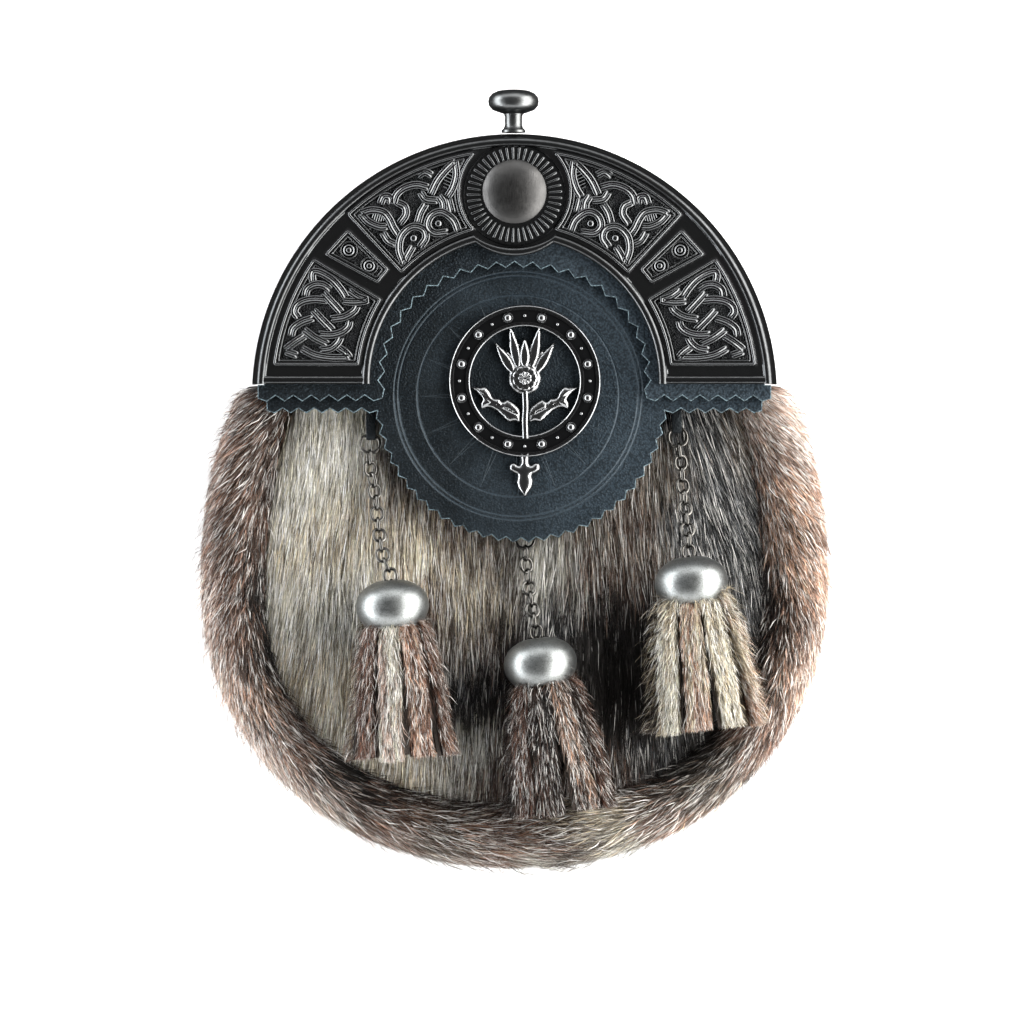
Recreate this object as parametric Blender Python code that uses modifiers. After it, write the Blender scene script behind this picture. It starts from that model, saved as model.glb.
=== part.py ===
"""A sporran pouch, lying on its back.

A leather back panel, a rolled fur gusset and a fur front panel make a round, flat bag. Its mouth is at the
top, between the back panel and the flap. A cast half ring, the cantle, covers the upper half of the flap.
Three fur tassels hang on cable chains from leather tabs under the flap.

X runs to the right of the front, Y up to the knob and Z out of the front. The back rests on Z = 0, and the
origin is under the middle of the outline. All sizes here are in millimetres: the functions that make
objects turn them into metres.
"""

import math

import bmesh
import bpy
from mathutils import Matrix, Vector

MM = 0.001
# The gap between pieces that touch, and how near two points are that are one
TOUCH_GAP = 0.3
WELD = 0.01

# ---- The bag, seen from the front. Each outline is two half ovals on one centre line ----
OUTLINE = {"middle_y": -30.0, "half_width": 95.0, "up": 112.0, "down": 87.3, "squareness": 2.1}
SEAM = {"middle_y": -36.0, "half_width": 75.5, "up": 118.0, "down": 62.4, "squareness": 2.25}
GUSSET_TOP_Y = 28.4
GUSSET_STATIONS = 40
GUSSET_SEAM_DEPTH = 19.0
PILE_RELIEF = 2.0

# Across the gusset: way in from the outline, height, share of the pile's relief
GUSSET_PROFILE = (
    {"inward": 7.4, "height": 3.6, "relief": 0.0},
    {"inward": 5.6, "height": 0.0, "relief": 0.0},
    {"inward": 1.8, "height": 3.4, "relief": 1.0},
    {"inward": 0.0, "height": 11.0, "relief": 0.0},
    {"inward": 0.6, "height": 21.0, "relief": 1.0},
    {"inward": 4.2, "height": 29.6, "relief": 1.0},
    {"inward": 10.0, "height": 33.2, "relief": 1.0},
    {"inward": 15.6, "height": 31.2, "relief": 1.0},
    {"inward": 19.0, "height": 26.4, "relief": 0.0},
    {"inward": 18.2, "height": 23.8, "relief": 0.0},
    {"inward": 10.6, "height": 28.4, "relief": 0.0},
    {"inward": 4.8, "height": 20.0, "relief": 0.0},
    {"inward": 7.3, "height": 8.4, "relief": 0.0},
)
GUSSET_CORE = {"inward": 9.5, "height": 17.0}

BACK_LOW_Z = 6.6
LEATHER = 2.0
BACK_EDGE_DEPTH = 7.9

# ---- The front panel: a skin that curves down to the seam, with the pile in shingled locks ----
FRONT_Z = 31.0
FRONT_EDGE_Z = 26.4
FRONT_WALL = 2.4
FRONT_ROUNDNESS = 9
FRONT_TOP_Y = 44.0
FRONT_RAMP_START_Y = 26.0
FRONT_RAMP_END_Y = 40.0
LOCK_WIDTH = 34.0
LOCK_LENGTH = 22.0
LOCK_STEP = 3.0
LOCK_ZIGZAG = 2.5
LOCK_RELIEF = 1.6

# ---- The half ring and the leather under it share one centre, and the round boss has its own ----
RING_Y = 25.2
BASE_Y = 28.8
MEDALLION_Y = 86.3
TOP_EDGE_RADIUS = 73.2
TOP_GUSSET_RADIUS = 72.4
MOUTH_HALF_ANGLE = 40.0

FLAP_LOW_Z = 34.6
FLAP_RADIUS = 74.5
FLAP_DISC = {"x": 2.0, "y": 25.3, "radius": 43.4}
FLAP_WING_Y = 20.8
FLAP_TOOTH = {"pitch": 4.5, "depth": 1.5}

BACKING_RADIUS = 75.2
BACKING_HALF_WIDTH = 77.0
BACKING_BOTTOM_Y = 24.4
# The backing's inner edge: a round hole, flatter at the top, that ends some degrees below its centre
BACKING_INNER = {"y": 29.4, "side_radius": 39.9, "top_radius": 35.2, "below": 7.0, "steps": 60}
BACKING_TOOTH = {"pitch": 5.3, "depth": 1.8}

CANTLE_LOW_Z = FLAP_LOW_Z + 2 * (LEATHER + TOUCH_GAP)
CANTLE_PLATE = 2.0
CANTLE_FACE_Z = CANTLE_LOW_Z + CANTLE_PLATE
CANTLE_INNER = {"y": 29.4, "radius": 43.2}
SCALLOP_RADIUS = 19.2
BASE_RIM = {"width": 1.8, "slope": 1.2, "height": 1.0}

# The lip along the cantle's inner edge: distance from the edge, and height from the plate's rear
CANTLE_LIP = (
    {"inset": 0.0, "height": 0.0},
    {"inset": 0.0, "height": 2.4},
    {"inset": 0.7, "height": 3.1},
)
LIP_WIDTH = 1.7

# Around the cantle's outside, from the face to the rear edge of the skirt: radius, and height from its rear
CANTLE_RIM = (
    {"radius": 74.7, "height": 2.0},
    {"radius": 75.5, "height": 3.0},
    {"radius": 76.6, "height": 2.5},
    {"radius": 77.4, "height": 1.0},
    {"radius": 79.2, "height": -10.2},
    {"radius": 77.9, "height": -10.2},
    {"radius": 76.1, "height": -1.2},
    {"radius": 75.4, "height": 0.0},
)
CANTLE_ANGLES = (9.5, 18, 27, 36, 45, 54, 63, 70.5, 75.6, 79.5, 84.5)

# Raised work on the cantle's face
SLAB_HEIGHT = 0.5
STRAND_HEIGHT = 1.4
STRAND_WIDTH = 2.2
STRAND_STEPS = 11
RELIEF_ROOT = 0.6
LOWER_PANEL = {"inner": 48.6, "outer": 73.4, "end": 35.5, "bottom_y": 34.2}
SMALL_PANEL = {"inner": 52.6, "outer": 71.4, "start": 36.8, "end": 45.8}
UPPER_PANEL = {"inner": 49.8, "outer": 74.0, "start": 47.4, "end": 80.5, "inner_end": 76.5}
PANEL_HOLLOW = {"radius": 17.0, "start": 44.0, "end": -48.0}
# Each strand of the knotwork is an oval about a point of the ring
STRANDS = (
    {"angle": 22.0, "radius": 61.0, "long": 14.2, "short": 5.8, "turn": 45.0},
    {"angle": 22.0, "radius": 61.0, "long": 14.2, "short": 5.8, "turn": -45.0},
    {"angle": 62.5, "radius": 66.0, "long": 12.4, "short": 4.6, "turn": 28.0},
    {"angle": 62.5, "radius": 66.0, "long": 12.4, "short": 4.6, "turn": -28.0},
)
ROUNDELS = (
    {"angle": 41.3, "radius": 66.4, "size": 2.8},
    {"angle": 41.3, "radius": 58.2, "size": 2.8},
    {"angle": 56.0, "radius": 54.6, "size": 3.2},
    {"angle": 68.0, "radius": 54.6, "size": 3.2},
)
ROUNDEL_HEIGHT = 1.3
ROUNDEL_SIDES = 8
RAYS = {"y": 85.4, "count": 32, "inner": 10.2, "outer": 14.2, "height": 0.8}

# Boss and knob, each turned: radius and height along its own axis, from the top down
BOSS_PROFILE = (
    {"radius": 0.0, "height": 3.6},
    {"radius": 4.2, "height": 3.1},
    {"radius": 7.6, "height": 1.9},
    {"radius": 9.6, "height": 0.3},
    {"radius": 9.4, "height": 0.0},
    {"radius": 0.0, "height": 0.0},
)
BOSS_SIDES = 16
KNOB_SIDES = 12
KNOB_X = -0.3
KNOB_Z = 35.0
KNOB_TOP_Y = 117.3
KNOB_PROFILE = (
    {"radius": 0.0, "height": 0.0},
    {"radius": 4.6, "height": -0.3},
    {"radius": 7.2, "height": -1.9},
    {"radius": 7.6, "height": -3.8},
    {"radius": 6.4, "height": -6.2},
    {"radius": 2.6, "height": -7.0},
    {"radius": 2.6, "height": -11.2},
    {"radius": 3.6, "height": -12.2},
    {"radius": 3.6, "height": -12.9},
    {"radius": 0.0, "height": -12.9},
)

# ---- Badge on the flap: a studded ring, a thistle inside it and a drop below it ----
BADGE = {"x": 3.1, "y": 29.7, "sides": 22, "studs": 12}
BADGE_LOW_Z = FLAP_LOW_Z + LEATHER + TOUCH_GAP
BADGE_BAND = (
    {"radius": 16.4, "height": 0.0},
    {"radius": 16.4, "height": 2.0},
    {"radius": 17.5, "height": 1.4},
    {"radius": 21.7, "height": 1.4},
    {"radius": 22.8, "height": 2.0},
    {"radius": 22.8, "height": 0.0},
)
BADGE_SHEET = 1.6
BADGE_SHEET_LIFT = 0.1
# Half of the thistle's outline, from its crown down to the foot of its stem
THISTLE_HALF = (
    {"x": 0.0, "y": 13.2},
    {"x": 1.6, "y": 9.4},
    {"x": 4.4, "y": 16.8},
    {"x": 4.9, "y": 8.4},
    {"x": 9.0, "y": 11.6},
    {"x": 5.2, "y": 4.6},
    {"x": 6.1, "y": 1.0},
    {"x": 4.4, "y": -2.6},
    {"x": 1.1, "y": -4.4},
    {"x": 1.1, "y": -8.6},
    {"x": 5.0, "y": -5.2},
    {"x": 9.2, "y": -5.0},
    {"x": 11.6, "y": -1.4},
    {"x": 16.9, "y": -1.6},
    {"x": 12.8, "y": -5.4},
    {"x": 13.0, "y": -8.6},
    {"x": 8.2, "y": -9.4},
    {"x": 4.8, "y": -12.6},
    {"x": 1.3, "y": -12.4},
    {"x": 1.5, "y": -17.2},
)
THISTLE_BULB = {"y": 0.8, "radius": 4.9, "height": 3.0, "sides": 10}
DROP_HALF = (
    {"x": 1.4, "y": -21.8},
    {"x": 1.2, "y": -25.6},
    {"x": 4.0, "y": -24.6},
    {"x": 4.4, "y": -27.2},
    {"x": 2.0, "y": -28.6},
    {"x": 2.4, "y": -31.2},
    {"x": 0.0, "y": -34.8},
)
STUD = {"circle": 19.6, "radius": 1.6, "height": 2.5, "sides": 5}
STUB_TAPER = 0.6

# ---- Waist strap keepers on the back. The shift keeps the strip's steps as thick as the rest ----
KEEPER = {"x": 52.0, "width": 16.0, "low_y": 24.0, "high_y": 66.0, "thick": 1.8}
KEEPER_FOOT = 6.0
KEEPER_SLOPE = 3.0
KEEPER_SHIFT = 1.0

# ---- Chains, bells and tassels ----
LINK = {"inside_long": 3.42, "inside_wide": 2.9, "sides": 10}
TOP_LINK = {"inside_long": 4.6, "inside_wide": 4.8, "sides": 10}
WIRE_RADIUS = 0.4
WIRE_SIDES = 5
LINK_BITE = 0.14
CHAIN_LOW_Z = 34.0
TAB = {"width": 2.8, "thick": 3.0, "low_z": 31.3, "hole": 0.98, "hole_from_end": 1.5}
BELL_AXIS_Z = FRONT_Z + TOUCH_GAP + 10.5
CHAIN_RISE_LENGTH = 20.0
CHAIN_STRAIGHT = 1.5
ROUTE_STEPS = 12
BELL_HALF_LENGTH = 7.0
BELL_SIDES = 12
BELL_PROFILE = (
    {"radius": 2.9, "height": 7.0},
    {"radius": 7.4, "height": 6.2},
    {"radius": 9.9, "height": 3.4},
    {"radius": 10.5, "height": -0.6},
    {"radius": 9.7, "height": -4.6},
    {"radius": 8.5, "height": -7.0},
    {"radius": 7.6, "height": -7.0},
    {"radius": 9.3, "height": -0.6},
    {"radius": 2.9, "height": 6.0},
)
# How far the chain's end lies inside the bell, below the middle of its upper hole
CHAIN_END_DEPTH = 4.2
TASSEL_STRIPS = 9
# Along the tassel: distance below the bell's top, half width, half thickness and depth of the grooves.
# The strips hang from the rows of the head, and only they are stretched
TASSEL_HEAD_ROWS = 3
TASSEL_PROFILE = (
    {"along": 4.9, "wide": 6.2, "thick": 6.2, "groove": 0.0},
    {"along": 14.3, "wide": 6.9, "thick": 6.9, "groove": 0.1},
    {"along": 16.0, "wide": 9.8, "thick": 8.8, "groove": 0.2},
    {"along": 32.0, "wide": 12.6, "thick": 9.6, "groove": 0.24},
    {"along": 53.6, "wide": 15.4, "thick": 9.9, "groove": 0.28},
)
# Where the edges of a strip lie in its share of the way round, and where the groove after it does
STRIP_EDGES = (0.17, 0.83)
STAPLE = {"radius": 0.45, "half_gap": 1.2, "root": 1.0}

# One row for each tassel: the lower end of its tab, the chain's way from there, the bell's middle, its lean
TASSELS = (
    {
        "name": "left",
        "tab": (-43.2, 12.0),
        "tab_length": 11.0,
        "way": ((-43.6, 5.0), (-41.9, -4.4), (-41.0, -13.0), (-39.6, -22.0)),
        "bell": (-36.6, -36.9),
        "lean": 4.0,
        "stretch": 1.0,
    },
    {
        "name": "middle",
        "tab": (3.0, -16.6),
        "tab_length": 9.0,
        "way": ((3.6, -26.0), (4.8, -35.0), (6.0, -42.0)),
        "bell": (7.6, -54.2),
        "lean": 8.0,
        "stretch": 0.99,
    },
    {
        "name": "right",
        "tab": (48.8, 14.0),
        "tab_length": 9.0,
        "way": ((49.8, 6.5), (50.6, -2.0), (51.6, -11.0), (52.1, -17.5)),
        "bell": (52.9, -29.9),
        "lean": 6.0,
        "stretch": 0.98,
    },
)


# ---------------------------------------------------------------- objects and materials


def start_scene():
    """Empty the scene and return the collection for the parts and the one for the cutters."""
    for obj in list(bpy.data.objects):
        bpy.data.objects.remove(obj, do_unlink=True)
    collections = []
    for name in ("sporran_pouch", "cutters"):
        collection = bpy.data.collections.new(name)
        bpy.context.scene.collection.children.link(collection)
        collections.append(collection)
    return collections


PARTS, CUTTERS = start_scene()


def make_material(name, colour, metallic, roughness):
    material = bpy.data.materials.new(name)
    material.use_nodes = True
    shader = material.node_tree.nodes["Principled BSDF"]
    shader.inputs["Base Color"].default_value = (*colour, 1.0)
    shader.inputs["Metallic"].default_value = metallic
    shader.inputs["Roughness"].default_value = roughness
    return material


BLACK_LEATHER = make_material("black_leather", (0.022, 0.026, 0.032), 0.0, 0.55)
GUSSET_FUR = make_material("gusset_fur", (0.30, 0.20, 0.16), 0.0, 0.9)
FRONT_FUR = make_material("front_fur", (0.34, 0.28, 0.20), 0.0, 0.9)
TASSEL_FUR = make_material("tassel_fur", (0.36, 0.25, 0.19), 0.0, 0.9)
DARK_NICKEL = make_material("dark_nickel", (0.10, 0.10, 0.11), 1.0, 0.28)
BRUSHED_METAL = make_material("brushed_metal", (0.42, 0.42, 0.43), 1.0, 0.38)
CHAIN_STEEL = make_material("chain_steel", (0.14, 0.14, 0.15), 1.0, 0.35)


def link_part(name, data, material):
    obj = bpy.data.objects.new(name, data)
    data.materials.append(material)
    PARTS.objects.link(obj)
    return obj


def add_mesh(name, body, material):
    """One closed body from its points and faces, with the faces turned outward."""
    points, faces = body
    mesh = bpy.data.meshes.new(name)
    mesh.from_pydata([Vector(p) * MM for p in points], [], faces)
    bm = bmesh.new()
    bm.from_mesh(mesh)
    bmesh.ops.recalc_face_normals(bm, faces=bm.faces)
    bm.to_mesh(mesh)
    bm.free()
    mesh.shade_smooth()
    mesh.set_sharp_from_angle(angle=math.radians(35))
    return link_part(name, mesh, material)


def add_plate(name, outlines, thickness, material, place):
    """A flat sheet in its own XY plane. The first outline is its edge, and the others are holes."""
    curve = bpy.data.curves.new(name, "CURVE")
    curve.dimensions = "2D"
    curve.fill_mode = "BOTH"
    curve.extrude = thickness / 2 * MM
    for outline in outlines:
        spline = curve.splines.new("POLY")
        spline.points.add(len(outline) - 1)
        for point, (x, y) in zip(spline.points, outline):
            point.co = (x * MM, y * MM, 0.0, 1.0)
        spline.use_cyclic_u = True
    obj = link_part(name, curve, material)
    obj.matrix_world = place
    return obj


def add_turned(name, profile, sides, material, place, closed=False):
    """A body turned about its own Z axis. A closed profile is the wall of a hollow piece."""
    mesh = bpy.data.meshes.new(name)
    points = [(row["radius"] * MM, 0.0, row["height"] * MM) for row in profile]
    edges = [(i, i + 1) for i in range(len(points) - 1)]
    if closed:
        edges.append((len(points) - 1, 0))
    mesh.from_pydata(points, edges, [])
    obj = link_part(name, mesh, material)
    obj.matrix_world = place
    screw = obj.modifiers.new("turn", "SCREW")
    screw.steps = sides
    screw.render_steps = sides
    screw.use_merge_vertices = True
    screw.merge_threshold = WELD * MM
    return obj


def evaluated_mesh(obj):
    graph = bpy.context.evaluated_depsgraph_get()
    return bpy.data.meshes.new_from_object(obj.evaluated_get(graph))


def settle(obj):
    """Apply an object's modifiers to its mesh."""
    mesh = evaluated_mesh(obj)
    obj.modifiers.clear()
    obj.data = mesh
    mesh.name = obj.name


def combine(obj, other, operation):
    """Cut or join one object with another, which is then removed."""
    boolean = obj.modifiers.new(operation.lower(), "BOOLEAN")
    boolean.operation = operation
    boolean.solver = "EXACT"
    boolean.object = other
    settle(obj)
    bpy.data.objects.remove(other, do_unlink=True)


def plate_to_mesh(obj):
    """Make a flat curve object a closed mesh, so that it can be joined to another."""
    mesh = evaluated_mesh(obj)
    bm = bmesh.new()
    bm.from_mesh(mesh)
    bmesh.ops.remove_doubles(bm, verts=bm.verts, dist=WELD * MM)
    bmesh.ops.recalc_face_normals(bm, faces=bm.faces)
    bm.to_mesh(mesh)
    bm.free()
    solid = bpy.data.objects.new(obj.name + "_solid", mesh)
    solid.matrix_world = obj.matrix_world
    PARTS.objects.link(solid)
    bpy.data.objects.remove(obj, do_unlink=True)
    return solid


def at_height(z):
    return Matrix.Translation((0.0, 0.0, z * MM))


# ---------------------------------------------------------------- shapes in millimetres


def loft(rings, closed=False):
    """A body through rings of as many points each. A closed loft has no ends, an open one has caps."""
    count = len(rings[0])
    points = [point for ring in rings for point in ring]
    faces = []
    spans = len(rings) if closed else len(rings) - 1
    for i in range(spans):
        here = i * count
        there = (i + 1) % len(rings) * count
        for j in range(count):
            k = (j + 1) % count
            faces.append((here + j, here + k, there + k, there + j))
    if not closed:
        faces.append(tuple(range(count)))
        faces.append(tuple(range(spans * count, (spans + 1) * count)))
    return points, faces


def joined(bodies):
    """Several bodies as one set of points and faces."""
    points, faces = [], []
    for body_points, body_faces in bodies:
        start = len(points)
        points.extend(body_points)
        faces.extend(tuple(start + i for i in face) for face in body_faces)
    return points, faces


def prism(outline, low, high):
    """An upright body with the outline as its floor and its roof."""
    return loft([[(x, y, low) for x, y in outline], [(x, y, high) for x, y in outline]])


def stub(middle, radius, low, high, sides):
    """A short cone, cut off below its point."""
    rings = []
    for size, z in ((radius, low), (radius * STUB_TAPER, high)):
        ring = arc(*middle, size, 0.0, 360.0 * (sides - 1) / sides, sides - 1)
        rings.append([(x, y, z) for x, y in ring])
    return loft(rings)


def mirrored(body):
    points, faces = body
    return [(-x, y, z) for x, y, z in points], faces


def both_sides(bodies):
    return bodies + [mirrored(body) for body in bodies]


def arc(centre_x, centre_y, radius, start, end, steps):
    """Points along an arc, with its angles in degrees from X."""
    points = []
    for i in range(steps + 1):
        angle = math.radians(start + (end - start) * i / steps)
        points.append((centre_x + radius * math.cos(angle), centre_y + radius * math.sin(angle)))
    return points


def oval_point(shape, angle):
    """A point of a two-part oval. The angle runs from X, and below zero it is on the lower half."""
    power = 2 / shape["squareness"]
    along, across = math.cos(angle), math.sin(angle)
    height = shape["up"] if across > 0 else shape["down"]
    x = shape["half_width"] * math.copysign(abs(along) ** power, along)
    y = shape["middle_y"] + height * math.copysign(abs(across) ** power, across)
    return x, y


def oval_angle(shape, y):
    """The angle of the oval's right-hand point at a height above its middle."""
    share = (y - shape["middle_y"]) / shape["up"]
    return math.asin(share ** (shape["squareness"] / 2))


def bag_edge(share):
    """The gusset's outline and its seam, from the cantle's right end round the bottom to the left end."""
    pair = []
    for shape in (OUTLINE, SEAM):
        top = oval_angle(shape, GUSSET_TOP_Y)
        pair.append(oval_point(shape, top - share * (2 * top + math.pi)))
    return pair


def between(start, end, share):
    return tuple(a + (b - a) * share for a, b in zip(start, end))


def smooth_step(value):
    value = min(max(value, 0.0), 1.0)
    return value * value * (3 - 2 * value)


def pinked(path, tooth):
    """A zigzag cut along a path, with its first and last points kept."""
    lengths = [0.0]
    for a, b in zip(path, path[1:]):
        lengths.append(lengths[-1] + math.dist(a, b))
    half_teeth = 2 * round(lengths[-1] / tooth["pitch"])
    points = [path[0]]
    for i in range(1, half_teeth):
        goal = lengths[-1] * i / half_teeth
        leg = next(k for k in range(1, len(lengths)) if lengths[k] >= goal)
        a, b = path[leg - 1], path[leg]
        x, y = between(a, b, (goal - lengths[leg - 1]) / (lengths[leg] - lengths[leg - 1]))
        side = tooth["depth"] / 2 * (1 if i % 2 else -1)
        length = math.dist(a, b)
        points.append((x + side * (b[1] - a[1]) / length, y - side * (b[0] - a[0]) / length))
    points.append(path[-1])
    return points


# ---------------------------------------------------------------- the bag


def build_back_panel():
    edge = []
    for i in range(GUSSET_STATIONS + 1):
        outer, seam = bag_edge(i / GUSSET_STATIONS)
        edge.append(between(outer, seam, BACK_EDGE_DEPTH / GUSSET_SEAM_DEPTH))
    top = arc(0.0, RING_Y, TOP_EDGE_RADIUS, 177.5, 2.5, 18)
    add_plate("back_panel", [edge + top], LEATHER, BLACK_LEATHER, at_height(BACK_LOW_Z + LEATHER / 2))


def build_gusset():
    """The rolled side wall. Its outer side has the pile's locks, which slant down and outward."""
    rings = []
    for station in range(GUSSET_STATIONS + 1):
        outer, seam = bag_edge(station / GUSSET_STATIONS)
        ring = []
        for row_number, row in enumerate(GUSSET_PROFILE):
            dent = row["relief"] * PILE_RELIEF * ((station + row_number) % 2)
            inward, height = row["inward"], row["height"]
            core = Vector((GUSSET_CORE["inward"] - inward, GUSSET_CORE["height"] - height))
            core.normalize()
            x, y = between(outer, seam, (inward + dent * core.x) / GUSSET_SEAM_DEPTH)
            ring.append((x, y, height + dent * core.y))
        rings.append(ring)
    add_mesh("gusset", loft(rings), GUSSET_FUR)


def front_height(x, y):
    """The front panel's height without its pile: flat in the middle, down at the seam, up at the top."""
    height = SEAM["up"] if y > SEAM["middle_y"] else SEAM["down"]
    across = abs(x) / SEAM["half_width"]
    along = abs(y - SEAM["middle_y"]) / height
    nearness = (across ** SEAM["squareness"] + along ** SEAM["squareness"]) ** (1 / SEAM["squareness"])
    floor = FRONT_Z - LOCK_RELIEF
    z = floor - (floor - FRONT_EDGE_Z) * min(nearness, 1.1) ** FRONT_ROUNDNESS
    ramp = smooth_step((y - FRONT_RAMP_START_Y) / (FRONT_RAMP_END_Y - FRONT_RAMP_START_Y))
    return z + (FLAP_LOW_Z - TOUCH_GAP - z) * ramp


def build_front_panel():
    """Rows of locks. Each row rises to its tips, steps down behind them, and its tips make a zigzag."""
    half_columns = math.ceil(2 * SEAM["half_width"] / LOCK_WIDTH) + 1
    lock_rows = math.ceil((FRONT_TOP_Y - SEAM["middle_y"] + SEAM["down"]) / LOCK_LENGTH) + 1
    columns = range(-half_columns, half_columns + 1)
    rows = []
    for lock_row in range(lock_rows):
        row_top = FRONT_TOP_Y + LOCK_ZIGZAG - lock_row * LOCK_LENGTH
        rows.append({"y": row_top - LOCK_STEP, "rise": 0.0, "phase": lock_row + 1})
        rows.append({"y": row_top - LOCK_LENGTH, "rise": LOCK_RELIEF, "phase": lock_row})
    points = []
    for row in rows:
        for column in columns:
            tip = (column + row["phase"]) % 2
            x = column * LOCK_WIDTH / 2
            y = row["y"] - LOCK_ZIGZAG * tip
            fade = 1.0 - smooth_step((y - FRONT_RAMP_START_Y) / LOCK_LENGTH)
            points.append((x, y, front_height(x, y) + row["rise"] * fade * (0.5 + 0.5 * tip)))
    width = len(columns)
    faces = []
    for i in range(len(rows) - 1):
        for j in range(width - 1):
            corner = i * width + j
            faces.append((corner, corner + width, corner + width + 1, corner + 1))
    mesh = bpy.data.meshes.new("front_panel")
    mesh.from_pydata([Vector(p) * MM for p in points], [], faces)
    panel = link_part("front_panel", mesh, FRONT_FUR)
    wall = panel.modifiers.new("wall", "SOLIDIFY")
    wall.thickness = FRONT_WALL * MM
    wall.offset = -1.0
    settle(panel)

    edge = []
    for i in range(GUSSET_STATIONS + 1):
        outer, seam = bag_edge(i / GUSSET_STATIONS)
        edge.append(between(seam, outer, -2 * TOUCH_GAP / GUSSET_SEAM_DEPTH))
    half_width = oval_point(SEAM, oval_angle(SEAM, FRONT_TOP_Y))[0]
    edge += [(-half_width, FRONT_TOP_Y), (half_width, FRONT_TOP_Y)]
    cutter = add_mesh("front_cutter", prism(edge, 0.0, 2 * FRONT_Z), FRONT_FUR)
    PARTS.objects.unlink(cutter)
    CUTTERS.objects.link(cutter)
    combine(panel, cutter, "INTERSECT")


def build_top_gussets():
    """The leather side bands behind the cantle. The mouth is open between them."""
    for side, name in ((1, "right"), (-1, "left")):
        low = math.degrees(math.asin((BASE_Y - RING_Y + TOUCH_GAP) / TOP_GUSSET_RADIUS))
        high = 90.0 - MOUTH_HALF_ANGLE
        outer = arc(0.0, RING_Y, TOP_GUSSET_RADIUS, low, high, 6)
        inner = arc(0.0, RING_Y, TOP_GUSSET_RADIUS - LEATHER, high, low, 6)
        outline = [(side * x, y) for x, y in outer + inner]
        bottom = BACK_LOW_Z + LEATHER + TOUCH_GAP
        top = FLAP_LOW_Z - TOUCH_GAP
        place = at_height((bottom + top) / 2)
        add_plate("top_gusset_" + name, [outline], top - bottom, BLACK_LEATHER, place)


def build_strap_keepers():
    """Two loops on the back. Each is a strip whose ends step up to the back panel."""
    thick, top = KEEPER["thick"], BACK_LOW_Z - TOUCH_GAP
    low, high = KEEPER["low_y"], KEEPER["high_y"]
    outline = [
        (low, top),
        (low, top - thick),
        (low + KEEPER_FOOT, top - thick),
        (low + KEEPER_FOOT + KEEPER_SLOPE, 0.0),
        (high - KEEPER_FOOT - KEEPER_SLOPE, 0.0),
        (high - KEEPER_FOOT, top - thick),
        (high, top - thick),
        (high, top),
        (high - KEEPER_FOOT - KEEPER_SHIFT, top),
        (high - KEEPER_FOOT - KEEPER_SLOPE - KEEPER_SHIFT, thick),
        (low + KEEPER_FOOT + KEEPER_SLOPE + KEEPER_SHIFT, thick),
        (low + KEEPER_FOOT + KEEPER_SHIFT, top),
    ]
    for side, name in ((1, "right"), (-1, "left")):
        left = side * KEEPER["x"] - KEEPER["width"] / 2
        ends = [[(left + step, y, z) for y, z in outline] for step in (0.0, KEEPER["width"])]
        add_mesh("strap_keeper_" + name, loft(ends), BLACK_LEATHER)


# ---------------------------------------------------------------- the leather front


def build_flap():
    disc = FLAP_DISC
    wing_angle = math.degrees(math.asin((FLAP_WING_Y - RING_Y) / FLAP_RADIUS))
    top = arc(0.0, RING_Y, FLAP_RADIUS, wing_angle, 180.0 - wing_angle, 20)
    root = math.degrees(math.asin((disc["y"] - FLAP_WING_Y) / disc["radius"]))
    rim = arc(disc["x"], disc["y"], disc["radius"], 180.0 + root, 360.0 - root, 60)
    left_wing = pinked([top[-1], rim[0]], FLAP_TOOTH)
    right_wing = pinked([rim[-1], top[0]], FLAP_TOOTH)
    outline = top[:-1] + left_wing[:-1] + pinked(rim, FLAP_TOOTH)[:-1] + right_wing[:-1]
    add_plate("flap", [outline], LEATHER, BLACK_LEATHER, at_height(FLAP_LOW_Z + LEATHER / 2))


def build_cantle_backing():
    """A half ring: its outer edge is under the cantle, its bottom and its inner edge are pinked."""
    shelf_y = BASE_Y - TOUCH_GAP
    low = math.degrees(math.asin((shelf_y - RING_Y) / BACKING_RADIUS))
    top = arc(0.0, RING_Y, BACKING_RADIUS, low, 180.0 - low, 20)
    inner = []
    for i in range(BACKING_INNER["steps"] + 1):
        share = i / BACKING_INNER["steps"]
        angle = math.radians(180.0 * (1 - share) + BACKING_INNER["below"] * (1 - 2 * share))
        rise = max(math.sin(angle), 0.0) ** 3
        radius = BACKING_INNER["side_radius"]
        radius += (BACKING_INNER["top_radius"] - radius) * rise
        inner.append((radius * math.cos(angle), BACKING_INNER["y"] + radius * math.sin(angle)))
    left_corner = (-BACKING_HALF_WIDTH, BACKING_BOTTOM_Y)
    right_corner = (BACKING_HALF_WIDTH, BACKING_BOTTOM_Y)
    bottom_left = pinked([left_corner, inner[0]], BACKING_TOOTH)
    bottom_right = pinked([inner[-1], right_corner], BACKING_TOOTH)
    outline = top + [(-BACKING_HALF_WIDTH, shelf_y)] + bottom_left[:-1]
    outline += pinked(inner, BACKING_TOOTH)[:-1] + bottom_right + [(BACKING_HALF_WIDTH, shelf_y)]
    height = FLAP_LOW_Z + LEATHER + TOUCH_GAP + LEATHER / 2
    add_plate("cantle_backing", [outline], LEATHER, BLACK_LEATHER, at_height(height))


# ---------------------------------------------------------------- the cantle


def ring_point(angle, radius, across=0.0):
    """A point of the cantle's face, at an angle and radius about its centre."""
    turn = math.radians(angle)
    x = radius * math.cos(turn) - across * math.sin(turn)
    y = RING_Y + radius * math.sin(turn) + across * math.cos(turn)
    return x, y


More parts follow.
